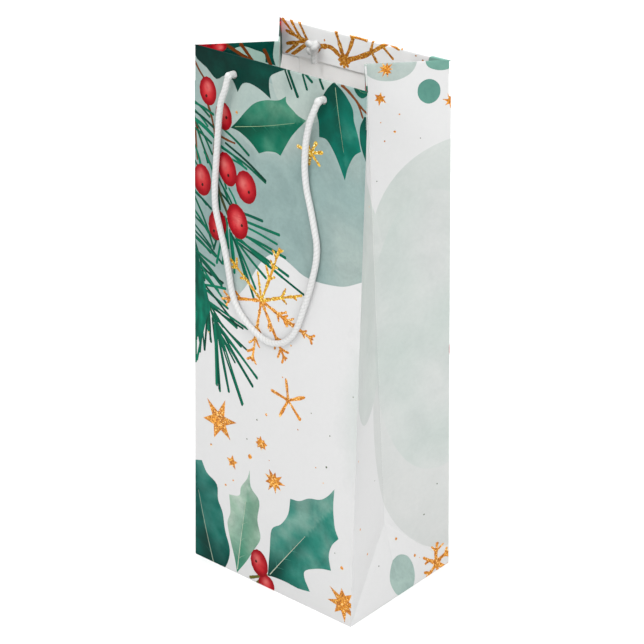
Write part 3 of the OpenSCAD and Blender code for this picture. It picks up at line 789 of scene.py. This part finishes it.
def side_hem_art():
    """Print on the turned-in top of the gussets: dark leaf, berries, twigs."""
    rnd = random.Random(51)
    o = []
    o.append(Shape([(60, 325), (160, 325), (160, 355), (60, 355)], (176, 200, 192), 0.45))
    leaf(o, [(113, 326), (114, 338), (112.5, 345), (120, 343), (130, 353), (160, 355), (160, 326)], [(160, 336), (140, 334), (119, 340)],
         (2, 36, 34), (4, 58, 52), (10, 78, 68), (60, 110, 90), wet=0.9, rib_w=0.3)
    leaf(o, [(104, 326), (101, 338), (103, 345), (96, 343), (88, 353), (62, 355), (62, 326)], [(62, 336), (82, 334), (103, 340)],
         (2, 36, 34), (4, 58, 52), (10, 78, 68), (60, 110, 90), wet=0.9, rib_w=0.3)
    for m in (1, -1):
        f = lambda pts, m=m: [(x if m == 1 else 222 - x, y) for x, y in pts]
        o.append(Shape(smooth_outline(f([(138, 334), (131, 332.5), (124, 335), (118.5, 338), (118, 345), (125, 342.5), (129, 338)]), 3), (164, 192, 182), 0.45))
        for pts in ([(146, 327), (138, 333), (131, 338), (124, 343)], [(132.5, 331), (129, 336), (125, 342)], [(119, 335), (117, 339), (114.5, 346)]):
            o.append(Shape(strip(f(pts), 1.9, 1.5, 5, 0.25, rnd), (112, 56, 22), 0.5))
        for cx, cy, rx, ry in ((153.5, 334.5, 6.2, 4.6), (145, 332, 4.6, 3.4)):
            berry(o, cx if m == 1 else 222 - cx, cy, rx, ry, 0, (0.3, -0.6), (-0.2, 0.2))
    return o

# -------------------------------------------------------- printed paper mesh
def paper(name, s0, s1, v0, v1, mapf, shapes, step=5.0, rows=(), cols=(), folds=(), holes=(), shift=0.0,
          inner=M_INNER, base=WHITE, thick=PAPER, base_fn=None, ink_k=None, joins=()):
    """A thin sheet whose faces follow the printed shapes; mapf(s, v, depth)."""
    ink_k = ink_k or INK_K

    def ticks(a, b, n, extra):
        k = max(1, int(round((b - a) / n)))
        own = [round(e, 4) for e in extra if a + 0.02 < e < b - 0.02]
        t = {round(a + (b - a) * i / k, 4) for i in range(1, k)}
        t = {q for q in t if all(abs(q - e) > 0.8 for e in own)}
        return sorted(t | set(own) | {round(a, 4), round(b, 4)})
    S, V = ticks(s0, s1, step, cols), ticks(v0, v1, step, rows)
    verts, faces, edges = [], [], []
    ring = [(s, v0) for s in S[:-1]] + [(s1, v) for v in V[:-1]] + [(s, v1) for s in S[:0:-1]] + [(s0, v) for v in V[:0:-1]]
    verts += ring
    faces.append(list(range(len(ring))))
    kinds = [None]
    for cx, cy, r in holes:
        n0 = len(verts)
        verts += [(cx + r * math.cos(2 * math.pi * k / 20), cy + r * math.sin(2 * math.pi * k / 20)) for k in range(20)]
        hole_poly = list(range(n0, n0 + 20))
        kinds.append(None)
        faces.append(hole_poly)
    nh = len(holes)
    for sh in shapes:
        x0, y0, x1, y1 = sh.box
        if x1 < s0 - shift or x0 > s1 - shift or y1 < v0 or y0 > v1:
            continue
        n0 = len(verts)
        verts += [(p[0] + shift, p[1]) for p in sh.poly]
        faces.append(list(range(n0, n0 + len(sh.poly))))
        kinds.append(sh)
        for p in sh.pts:
            if s0 + 0.6 < p[0] + shift < s1 - 0.6 and v0 + 0.6 < p[1] < v1 - 0.6:
                verts.append((p[0] + shift, p[1]))
    for a, b in folds:
        n0 = len(verts)
        k = 12
        verts += [(a[0] + (b[0] - a[0]) * i / k, a[1] + (b[1] - a[1]) * i / k) for i in range(k + 1)]
        edges += [(n0 + i, n0 + i + 1) for i in range(k)]
    for s in S[1:-1]:
        for v in V[1:-1]:
            verts.append((s, v))
    for v in rows:                    # no face may cut across a bend
        if v0 + 0.02 < v < v1 - 0.02:
            n0 = len(verts)
            verts += [(s, round(v, 4)) for s in S]
            edges += [(n0 + i, n0 + i + 1) for i in range(len(S) - 1)]
    vo, eo, fo, ov, oe, of_ = delaunay_2d_cdt([Vector(p) for p in verts], edges, faces, 0, 1e-4, True)
    keep, info = [], []
    for f, src in zip(fo, of_):
        if 0 not in src or any(0 < k <= nh for k in src):
            continue
        a, b, c = (vo[i] for i in f[:3])
        if abs((b - a).cross(c - a)) < 1e-6:
            continue
        keep.append(f)
        info.append(kinds[max(src)])
    used = sorted({i for f in keep for i in f})
    idx = {i: k for k, i in enumerate(used)}
    uv = [vo[i] for i in used]
    n = len(uv)
    outer = [mapf(p.x, p.y, 0.0) * MM for p in uv]
    innr = [mapf(p.x, p.y, thick) * MM for p in uv]
    F, mats, cols_, wets = [], [], [], []
    count = {}
    for f, sh in zip(keep, info):
        g = [idx[i] for i in f]
        F.append(g)
        mats.append(1 if sh is not None and sh.gold else 0)
        for i in g:
            p = uv[i]
            if sh is None:
                c = base_fn(p.x - shift, p.y) if base_fn else base
                w = 0.0
            else:
                c = sh.ink(p.x - shift, p.y) if callable(sh.ink) else sh.ink
                w = sh.wet
            gold = sh is not None and sh.gold
            cols_.append((*(srgb(c) if gold else deepen(srgb(c), ink_k)), 1.0))
            wets.append(w)
        for k in range(3):
            e = (g[k], g[(k + 1) % 3])
            key = (min(e), max(e))
            count.setdefault(key, []).append(e)
    nf = len(F)
    for g in F[:nf]:
        F.append([g[2] + n, g[1] + n, g[0] + n])
        mats.append(2)
    rim = []
    for key, es in count.items():
        if len(es) == 1:
            a, b = es[0]
            if any(abs(uv[a].y - j) < 1e-3 and abs(uv[b].y - j) < 1e-3 for j in joins):
                continue              # the sheet carries on in the next piece
            rim.append([b, a, a + n, b + n])
            mats.append(3)
    F += rim
    me = bpy.data.meshes.new(name)
    me.from_pydata([tuple(p) for p in outer + innr], [], F)
    for m in (M_PRINT, M_GOLD, inner, M_EDGE):
        me.materials.append(m)
    me.polygons.foreach_set("material_index", mats)
    me.polygons.foreach_set("use_smooth", [True] * len(F))
    total = len(me.loops)
    flat = [x for c in cols_ for x in c] + [0.85, 0.85, 0.85, 1.0] * (total - len(cols_))
    me.attributes.new("Ink", "FLOAT_COLOR", "CORNER").data.foreach_set("color", flat)
    me.attributes.new("Wet", "FLOAT", "CORNER").data.foreach_set("value", wets + [0.0] * (total - len(wets)))
    # hard edges: the rim, and the folds
    hard = set()
    for a, b in (es[0] for es in count.values() if len(es) == 1):
        hard.add((min(a, b), max(a, b)))
        hard.add((min(a + n, b + n), max(a + n, b + n)))
    if folds:
        def on(p):
            for a, b in folds:
                A, B = Vector(a), Vector(b)
                d = B - A
                t = clamp((p - A).dot(d) / d.length_squared)
                if (p - A - d * t).length < 0.02:
                    return True
            return False
        fl = [on(p) for p in uv]
        for (a, b) in count:
            if fl[a] and fl[b]:
                hard.add((a, b))
                hard.add((a + n, b + n))
    sharp = me.attributes.new("sharp_edge", "BOOLEAN", "EDGE")
    sharp.data.foreach_set("value", [tuple(sorted(e.vertices)) in hard for e in me.edges])
    me.update()
    me.validate()
    return link(bpy.data.objects.new(name, me))

FRONT_ART, SIDE_ART, HEM_ART, SIDE_HEM_ART = front_art(), side_art(), hem_art(), side_hem_art()
RIM_R = 0.85                      # radius of the turned top edge
TOP = H - RIM_R
HOLES = [(-HOLE_X, HOLE_Z, HOLE_R), (HOLE_X, HOLE_Z, HOLE_R)]

ARC = math.pi * RIM_R
CREST, CREST_B = TOP + ARC * 0.78, TOP + ARC * 0.36

def panel_map(front):
    """Panel, turned edge and hem as one run of paper."""
    def f(s, v, depth):
        x = s if front else s - REPEAT
        if v <= TOP:
            return panel_pt(x, v, depth, front)
        full = 1.70 * smooth((HW - abs(x)) / 1.6) + 0.02
        t = (v - TOP) / ARC
        if t < 1:
            a = math.pi * t
            y = full / 2 - (full / 2 - depth * 0.8) * math.cos(a)
            z = TOP + (RIM_R - depth * 0.8) * math.sin(a)
        else:
            y = full - depth
            z = TOP - (v - TOP - ARC)
        x = max(-HW + 0.3, min(HW - 0.3, x)) if t > 0.35 else x
        return panel_pt(x, z, y, front)
    return f

top_rows = [TOP + ARC * k / 8 for k in range(0, 9)]
front_panel = paper("front_panel_paper", -HW, HW, 0.0, CREST, panel_map(True), FRONT_ART, rows=top_rows, cols=(-HW + 1, HW - 1), holes=HOLES, joins=(CREST,))
back_panel = paper("back_panel_paper", REPEAT - HW, REPEAT + HW, 0.0, CREST_B, panel_map(False), FRONT_ART,
                   rows=top_rows, cols=(REPEAT - HW + 1, REPEAT + HW - 1),
                   holes=[(h[0] + REPEAT, h[1], h[2]) for h in HOLES], shift=REPEAT, joins=(CREST_B,))
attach(front_panel, "front_wall")
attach(back_panel, "back_wall")
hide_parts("front_panel")
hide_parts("back_panel")

HEM_END = TOP + ARC + (TOP - (H - 21.0))
hv = TOP + ARC + (TOP - HOLE_Z)
# painted light: the hems are the same printed stock as the outside, printed brighter (ink_k 0.97) to stand in for light
# inside the mouth
front_hem = paper("front_hem_paper", -HW, HW, CREST, HEM_END, panel_map(True), HEM_ART, step=4.0, rows=top_rows,
                  cols=(-HW + 1, -HW + 2, -HW + 3, HW - 1, HW - 2, HW - 3), holes=[(-HOLE_X, hv, HOLE_R), (HOLE_X, hv, HOLE_R)], thick=0.3, joins=(CREST,), ink_k=0.97)
back_hem = paper("back_hem_paper", REPEAT - HW, REPEAT + HW, CREST_B, HEM_END, panel_map(False), HEM_ART, step=4.0, rows=top_rows,
                 cols=tuple(REPEAT + q for q in (-HW + 1, -HW + 2, -HW + 3, HW - 1, HW - 2, HW - 3)),
                 holes=[(REPEAT - HOLE_X, hv, HOLE_R), (REPEAT + HOLE_X, hv, HOLE_R)], shift=REPEAT, thick=0.3, joins=(CREST_B,), ink_k=0.97)
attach(front_hem, "front_wall")
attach(back_hem, "back_wall")
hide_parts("front_hem")
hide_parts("back_hem")

# gusset halves: name, body of its wall, s range, and signs
GR = 0.40
GTOP = H - GR
GARC = math.pi * GR

HALVES = [("right_gusset_front", "front_wall", 63.5, 111.0, 1, 1, False, 0.0),
          ("right_gusset_rear", "back_wall", 111.0, 158.5, 1, -1, True, 0.0),
          ("left_gusset_rear", "back_wall", 285.5, 333.0, -1, -1, False, REPEAT),
          ("left_gusset_front", "front_wall", 333.0, 380.5, -1, 1, True, REPEAT)]
for nm, wall, sa, sb, sx, sy, rev, sh in HALVES:
    def to_u(s, rev=rev, sa=sa, sb=sb):
        return clamp((sb - s) / 47.5) if rev else clamp((s - sa) / 47.5)
    def gm(s, v, depth, to_u=to_u, sx=sx, sy=sy):
        u = to_u(s)
        if v <= GTOP:
            return side(gus_pt(u, v, depth), sx, sy)
        full = 1.0 * smooth(u * 47.5 / 3.0) + 0.02
        t = (v - GTOP) / GARC
        if t < 1:
            a = math.pi * t
            off = full / 2 - (full / 2 - depth * 0.8) * math.cos(a)
            vv, up = GTOP, max(0.02, GR - depth * 0.8) * math.sin(a)
        else:
            off = full - depth
            vv, up = GTOP - (v - GTOP - GARC), 0.0
        p = gus_raw(u, vv) + gus_nm(u, vv) * off
        p.z += up
        return side(p, sx, sy)
    fold = [((sb, 0.0), (sa, 47.5))] if rev else [((sa, 0.0), (sb, 47.5))]
    GCREST = GTOP + GARC * (0.8 if sx > 0 else 0.36)
    grows = [GTOP + GARC * k / 6 for k in range(0, 7)]
    g = paper(nm + "_paper", sa, sb, 0.0, GCREST, gm, SIDE_ART, rows=[47.5] + grows, cols=(sb - 0.9, sb - 1.9) if not rev else (sa + 0.9, sa + 1.9), folds=fold, shift=sh, joins=(GCREST,))
    # painted light: the gusset hems' print is raised to ink_k 0.8, brighter than the outside stock, for light inside
    # the mouth
    h = paper(nm + "_hem_paper", sa, sb, GCREST, GTOP + GARC + 20.6, gm, SIDE_HEM_ART, step=4.0, rows=grows,
              cols=(sa + 1, sa + 2, sa + 3) if not rev else (sb - 1, sb - 2, sb - 3), shift=sh, thick=0.3, joins=(GCREST,), ink_k=0.8)
    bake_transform(g)
    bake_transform(h)
    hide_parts(nm + "_half")
    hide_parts(nm + "_hem")

# ------------------------------------------------------------------ cords
LOOP = [(-33, 4.5, 0), (-33.9, 4.8, -3), (-35.2, 5, -8), (-38.6, 4.6, -16), (-40.6, 4, -25),
        (-42.3, 3.3, -38), (-43.9, 2.9, -54), (-45, 2.7, -68), (-44.5, 2.7, -81),
        (-41, 2.7, -93), (-36.8, 2.7, -106), (-33.6, 2.8, -119), (-31, 2.9, -130),
        (-26.9, 3, -138.5), (-20.6, 3, -145), (-12.5, 3, -150), (-4.5, 3, -152.8),
        (3, 3, -152.6), (10.2, 3, -149.4), (15.8, 3, -144), (20, 2.9, -136.5),
        (23.2, 2.8, -127.5), (27, 2.7, -116), (30, 2.7, -105), (32.4, 2.7, -94),
        (32.7, 2.7, -84), (30.5, 2.7, -74), (27.5, 2.7, -63), (24.6, 2.8, -53),
        (23.2, 3, -43), (23.2, 3.3, -33), (24.6, 4, -23), (27.4, 4.7, -13),
        (30, 5, -7), (31.6, 4.8, -3), (33, 4.5, 0)]

def wall_pt(x, out, up, front):
    y, z = -out, HOLE_Z + up
    py, pz = -HD + y * CL + z * SL, -y * SL + z * CL
    return Vector((x, py, pz)) if front else Vector((x, -py, pz))

def dense(pts, step):
    """Smooth curve through the points at an even spacing."""
    P = [Vector(p) for p in pts]
    raw = []
    for i in range(len(P) - 1):
        p1, p2 = P[i], P[i + 1]
        p0 = P[i - 1] if i else p1 * 2 - p2
        p3 = P[i + 2] if i + 2 < len(P) else p2 * 2 - p1
        for k in range(16):
            t = k / 16
            raw.append(0.5 * ((2 * p1) + (p2 - p0) * t + (2 * p0 - 5 * p1 + 4 * p2 - p3) * t * t
                              + (3 * p1 - p0 - 3 * p2 + p3) * t ** 3))
    raw.append(P[-1])
    out, acc = [raw[0]], 0.0
    for a, b in zip(raw, raw[1:]):
        d = (b - a).length
        while acc + d >= step:
            a = a.lerp(b, (step - acc) / d)
            out.append(a)
            d = (b - a).length
            acc = 0.0
        acc += d
    out.append(raw[-1])
    return out

def rope(name, path, r, pitch=7.6, strands=3, seg=30, close=True, depth=0.05, phase=0.0, taper=None):
    """Twisted cord swept along a path in mm, its strands as real grooves."""
    n = len(path)
    tang = [(path[min(n - 1, i + 1)] - path[max(0, i - 1)]).normalized() for i in range(n)]
    ref = Vector((0, 1, 0)) if abs(tang[0].y) < 0.9 else Vector((1, 0, 0))
    u = (ref - tang[0] * ref.dot(tang[0])).normalized()
    verts, groove_shade, L = [], [], 0.0
    for i in range(n):
        t = tang[i]
        u = (u - t * u.dot(t)).normalized()
        w = t.cross(u)
        if i:
            L += (path[i] - path[i - 1]).length
        rr = r * (taper(i / (n - 1)) if taper else 1.0)
        for k in range(seg):
            a = 2 * math.pi * k / seg
            q = abs(math.cos(0.5 * strands * (a + phase - 2 * math.pi * L / pitch)))
            g = q ** 0.55
            fr = 0.015 * math.sin(a * 11 + L * 7.0)
            rad = rr * (1 - depth * (1 - g) + fr)
            verts.append((path[i] + u * math.cos(a) * rad + w * math.sin(a) * rad) * MM)
            # painted shade mask: low between the strands, where the cord material darkens the colour
            groove_shade.append(clamp(g))
    faces = [[i * seg + k, i * seg + (k + 1) % seg, (i + 1) * seg + (k + 1) % seg, (i + 1) * seg + k]
             for i in range(n - 1) for k in range(seg)]
    if close:
        for i, sgn in ((0, -1), (n - 1, 1)):
            c = len(verts)
            rr = r * (taper(i / (n - 1)) if taper else 1.0)
            verts.append((path[i] + tang[i] * sgn * rr * 0.35) * MM)
            groove_shade.append(0.8)
            for k in range(seg):
                a, b = i * seg + k, i * seg + (k + 1) % seg
                faces.append([c, b, a] if sgn < 0 else [c, a, b])
    me = bpy.data.meshes.new(name)
    me.from_pydata([tuple(v) for v in verts], [], faces)
    at = me.attributes.new("GrooveShade", "FLOAT", "POINT")
    at.data.foreach_set("value", groove_shade)
    me.polygons.foreach_set("use_smooth", [True] * len(faces))
    me.materials.append(M_CORD)
    me.update()
    return me

def join_meshes(name, meshes):
    verts, faces, gro = [], [], []
    for me in meshes:
        b = len(verts)
        verts += [tuple(v.co) for v in me.vertices]
        faces += [[b + i for i in p.vertices] for p in me.polygons]
        gro += [d.value for d in me.attributes["GrooveShade"].data]
    out = bpy.data.meshes.new(name)
    out.from_pydata(verts, [], faces)
    out.attributes.new("GrooveShade", "FLOAT", "POINT").data.foreach_set("value", gro)
    out.polygons.foreach_set("use_smooth", [True] * len(faces))
    out.materials.append(M_CORD)
    out.update()
    return link(bpy.data.objects.new(name, out))

def knot_path(cx, k, s, flip):
    """Overhand knot just inside the hole, the cord's end hanging from it."""
    pts = [(cx, -4.5, 0), (cx, -2.4, 0.35), (cx, 0.0, 0.2), (cx, 1.8, 0.0)]
    for i in range(0, 25):
        t = 0.35 + 5.6 * i / 24
        x = (math.sin(t) + 2 * math.sin(2 * t)) * 1.02
        z = (math.cos(t) - 2 * math.cos(2 * t)) * 1.02
        y = -math.sin(3 * t) * 1.15
        pts.append((cx + flip * x, k + y, z))
    e = pts[-1]
    pts += [(e[0] + flip * 0.6, k - 0.4, e[2] - 3.0), (e[0] + flip * 0.9, k - 0.8, e[2] - 6.0), (e[0] + flip * 0.7, k - 1.0, e[2] - 9.0)]
    return pts

for front in (True, False):
    tag = "front" if front else "back"
    path = [wall_pt(x, o_, z, front) for x, o_, z in LOOP]
    fine = dense(path, 0.55)
    me = rope(tag + "_handle_cord_rope", fine, 1.86, phase=0.0 if front else 1.0)
    loop = link(bpy.data.objects.new(tag + "_handle_cord_rope", me))
    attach(loop, tag + "_handle")
    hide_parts(tag + "_handle_cord")
    parts = []
    for sgn in (-1, 1):
        kp = [wall_pt(x, -y, z, front) for x, y, z in knot_path(sgn * HOLE_X, 6.3, 1, sgn)]
        fp = dense(kp, 0.5)
        parts.append(rope("k", fp, 2.0, phase=sgn, seg=24))
        # rounded bend where the cord comes out
        c = wall_pt(sgn * HOLE_X, 4.5, 0, front)
        ball = [c + Vector((0, 0, 1)) * (2.3 * math.cos(math.pi * i / 14)) for i in range(1, 14)]
        tp = lambda q: max(0.12, math.sin(math.pi * (1 + 12 * q) / 14))
        parts.append(rope("b", ball, 2.32, seg=24, taper=tp, depth=0.10))
    kn = join_meshes(tag + "_knots_rope", parts)
    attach(kn, tag + "_wall")
    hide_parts(tag + "_handle_knots")

# ------------------------------------------------------------- the bottom
def flat_map(z, up):
    def f(s, v, depth):
        return Vector((s, v, z + depth if not up else z - depth))
    return f

def bottom_flap(name, pts, z, body="base"):
    poly = ccw(pts)
    def soft(s, v):
        n = noise.noise(Vector((s * 0.03, v * 0.03, z)))
        return mixc((236, 236, 235), (216, 224, 220), clamp(0.25 + n))
    verts = [Vector(p) for p in poly]
    n0 = len(verts)
    xs, ys = [p[0] for p in poly], [p[1] for p in poly]
    x = min(xs) + 4
    while x < max(xs):
        y = min(ys) + 4
        while y < max(ys):
            if inside(poly, x, y):
                verts.append(Vector((x, y)))
            y += 8
        x += 8
    vo, eo, fo, ov, oe, of_ = delaunay_2d_cdt(verts, [], [list(range(n0))], 0, 1e-4, True)
    F = [f for f, src in zip(fo, of_) if src]
    me = bpy.data.meshes.new(name)
    n = len(vo)
    def pz(p):
        e = min(p.x + HW, HW - p.x, p.y + HD, HD - p.y)
        return z + 0.0 * e
    V3 = [(p.x * MM, p.y * MM, pz(p) * MM) for p in vo] + [(p.x * MM, p.y * MM, (pz(p) + 0.38) * MM) for p in vo]
    faces, mats, cnt = [], [], {}
    for f in F:
        faces.append([f[2], f[1], f[0]]); mats.append(0)
        for k in range(3):
            e = (f[k], f[(k + 1) % 3])
            cnt.setdefault((min(e), max(e)), []).append(e)
    for f in F:
        faces.append([i + n for i in f]); mats.append(1)
    for es in cnt.values():
        if len(es) == 1:
            a, b = es[0]
            faces.append([a, b, b + n, a + n]); mats.append(2)
    me.from_pydata(V3, [], faces)
    for m in (M_PRINT, M_INNER, M_EDGE):
        me.materials.append(m)
    me.polygons.foreach_set("material_index", mats)
    me.attributes.new("Wet", "FLOAT", "CORNER").data.foreach_set("value", [0.25] * len(me.loops))
    vals = []
    for lp in me.loops:
        co = me.vertices[lp.vertex_index].co
        vals += [*srgb(soft(co.x / MM, co.y / MM)), 1.0]
    me.attributes.new("Ink", "FLOAT_COLOR", "CORNER").data.foreach_set("color", vals)
    me.update()
    ob = link(bpy.data.objects.new(name, me))
    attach(ob, body)
    return ob

X, Y, Q = HW - 1.1, HD - 0.55, HD * 1.28
f1 = bottom_flap("bottom_front_flap_paper", [(-X, -Y), (X, -Y), (X, -Y + 8), (X - 20, -Y + Q), (-X + 20, -Y + Q), (-X, -Y + 8)], 0.02)
f2 = bottom_flap("bottom_back_flap_paper", [(-X, Y), (X, Y), (X, Y - 8), (X - 20, Y - Q), (-X + 20, Y - Q), (-X, Y - 8)], 0.47)
R_ = HD - 6
f3 = bottom_flap("bottom_right_flap_paper", [(X, -Y), (X, Y), (X - R_, Y - R_ + 4), (X - R_, -Y + R_ - 4)], 0.92)
f4 = bottom_flap("bottom_left_flap_paper", [(-X, -Y), (-X, Y), (-X + R_, Y - R_ + 4), (-X + R_, -Y + R_ - 4)], 0.92)
for ob, nodev in ((f1, "bottom_front_flap"), (f2, "bottom_back_flap"), (f3, "bottom_right_flap"), (f4, "bottom_left_flap")):
    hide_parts(nodev)

# ----------------------------------------------- carried-over CAD nodes
def dress(node, mat):
    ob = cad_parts[node]
    ob = ob if hasattr(ob, "data") else bpy.data.objects.get(node)
    ob.data.materials.clear()
    ob.data.materials.append(mat)

for nodev in ("base_board", "front_reinforcement_card", "back_reinforcement_card"):
    dress(nodev, M_BOARD)
dress("glue_seam_tab", M_INNER)

# --------------------------------------------------------- floor and light
def stage():
    m, nt, b = new_mat("studio_floor")
    b.inputs["Roughness"].default_value = 0.9
    tc, n, bp = grain(nt, b, 30.0, 0.02, 0.001)
    nt.links.new(ramp(nt, n.outputs["Fac"], [(0.2, (0.86, 0.86, 0.86)), (0.8, (0.90, 0.90, 0.90))]), b.inputs["Base Color"])
    me = bpy.data.meshes.new("floor")
    s = 6.0
    me.from_pydata([(-s, -s, -0.0002), (s, -s, -0.0002), (s, s, -0.0002), (-s, s, -0.0002)], [], [[0, 1, 2, 3]])
    me.materials.append(m)
    fl = link(bpy.data.objects.new("floor", me))
    w = bpy.data.worlds.new("studio")
    bpy.context.scene.world = w
    w.use_nodes = True
    nt = w.node_tree
    bg = nt.nodes["Background"]
    tc = nd(nt, "ShaderNodeTexCoord")
    sep = nd(nt, "ShaderNodeSeparateXYZ")
    nt.links.new(tc.outputs["Generated"], sep.inputs["Vector"])
    nt.links.new(ramp(nt, sep.outputs["Z"], [(0.0, (0.84, 0.84, 0.84)), (0.10, (0.70, 0.70, 0.70)), (0.2, (0.34, 0.34, 0.34)), (0.4, (0.5, 0.5, 0.5)), (0.85, (1.0, 1.0, 1.0))]), bg.inputs["Color"])
    bg.inputs["Strength"].default_value = 1.22
    def area(name, loc, size, power, tgt=(0, 0, 0.17)):
        L = bpy.data.lights.new(name, "AREA")
        L.shape = "RECTANGLE"
        L.size, L.size_y = size
        L.energy = power
        ob = link(bpy.data.objects.new(name, L))
        ob.location = loc
        d = Vector(tgt) - Vector(loc)
        ob.rotation_mode = "QUATERNION"
        ob.rotation_quaternion = d.to_track_quat("-Z", "Y")
    area("key", (-0.35, -1.7, 2.3), (1.1, 1.1), 18.0)
    area("fill", (2.0, -1.1, 1.7), (1.4, 1.4), 35.0)
    area("top", (0.0, 0.1, 2.6), (2.6, 2.6), 24.0)
stage()
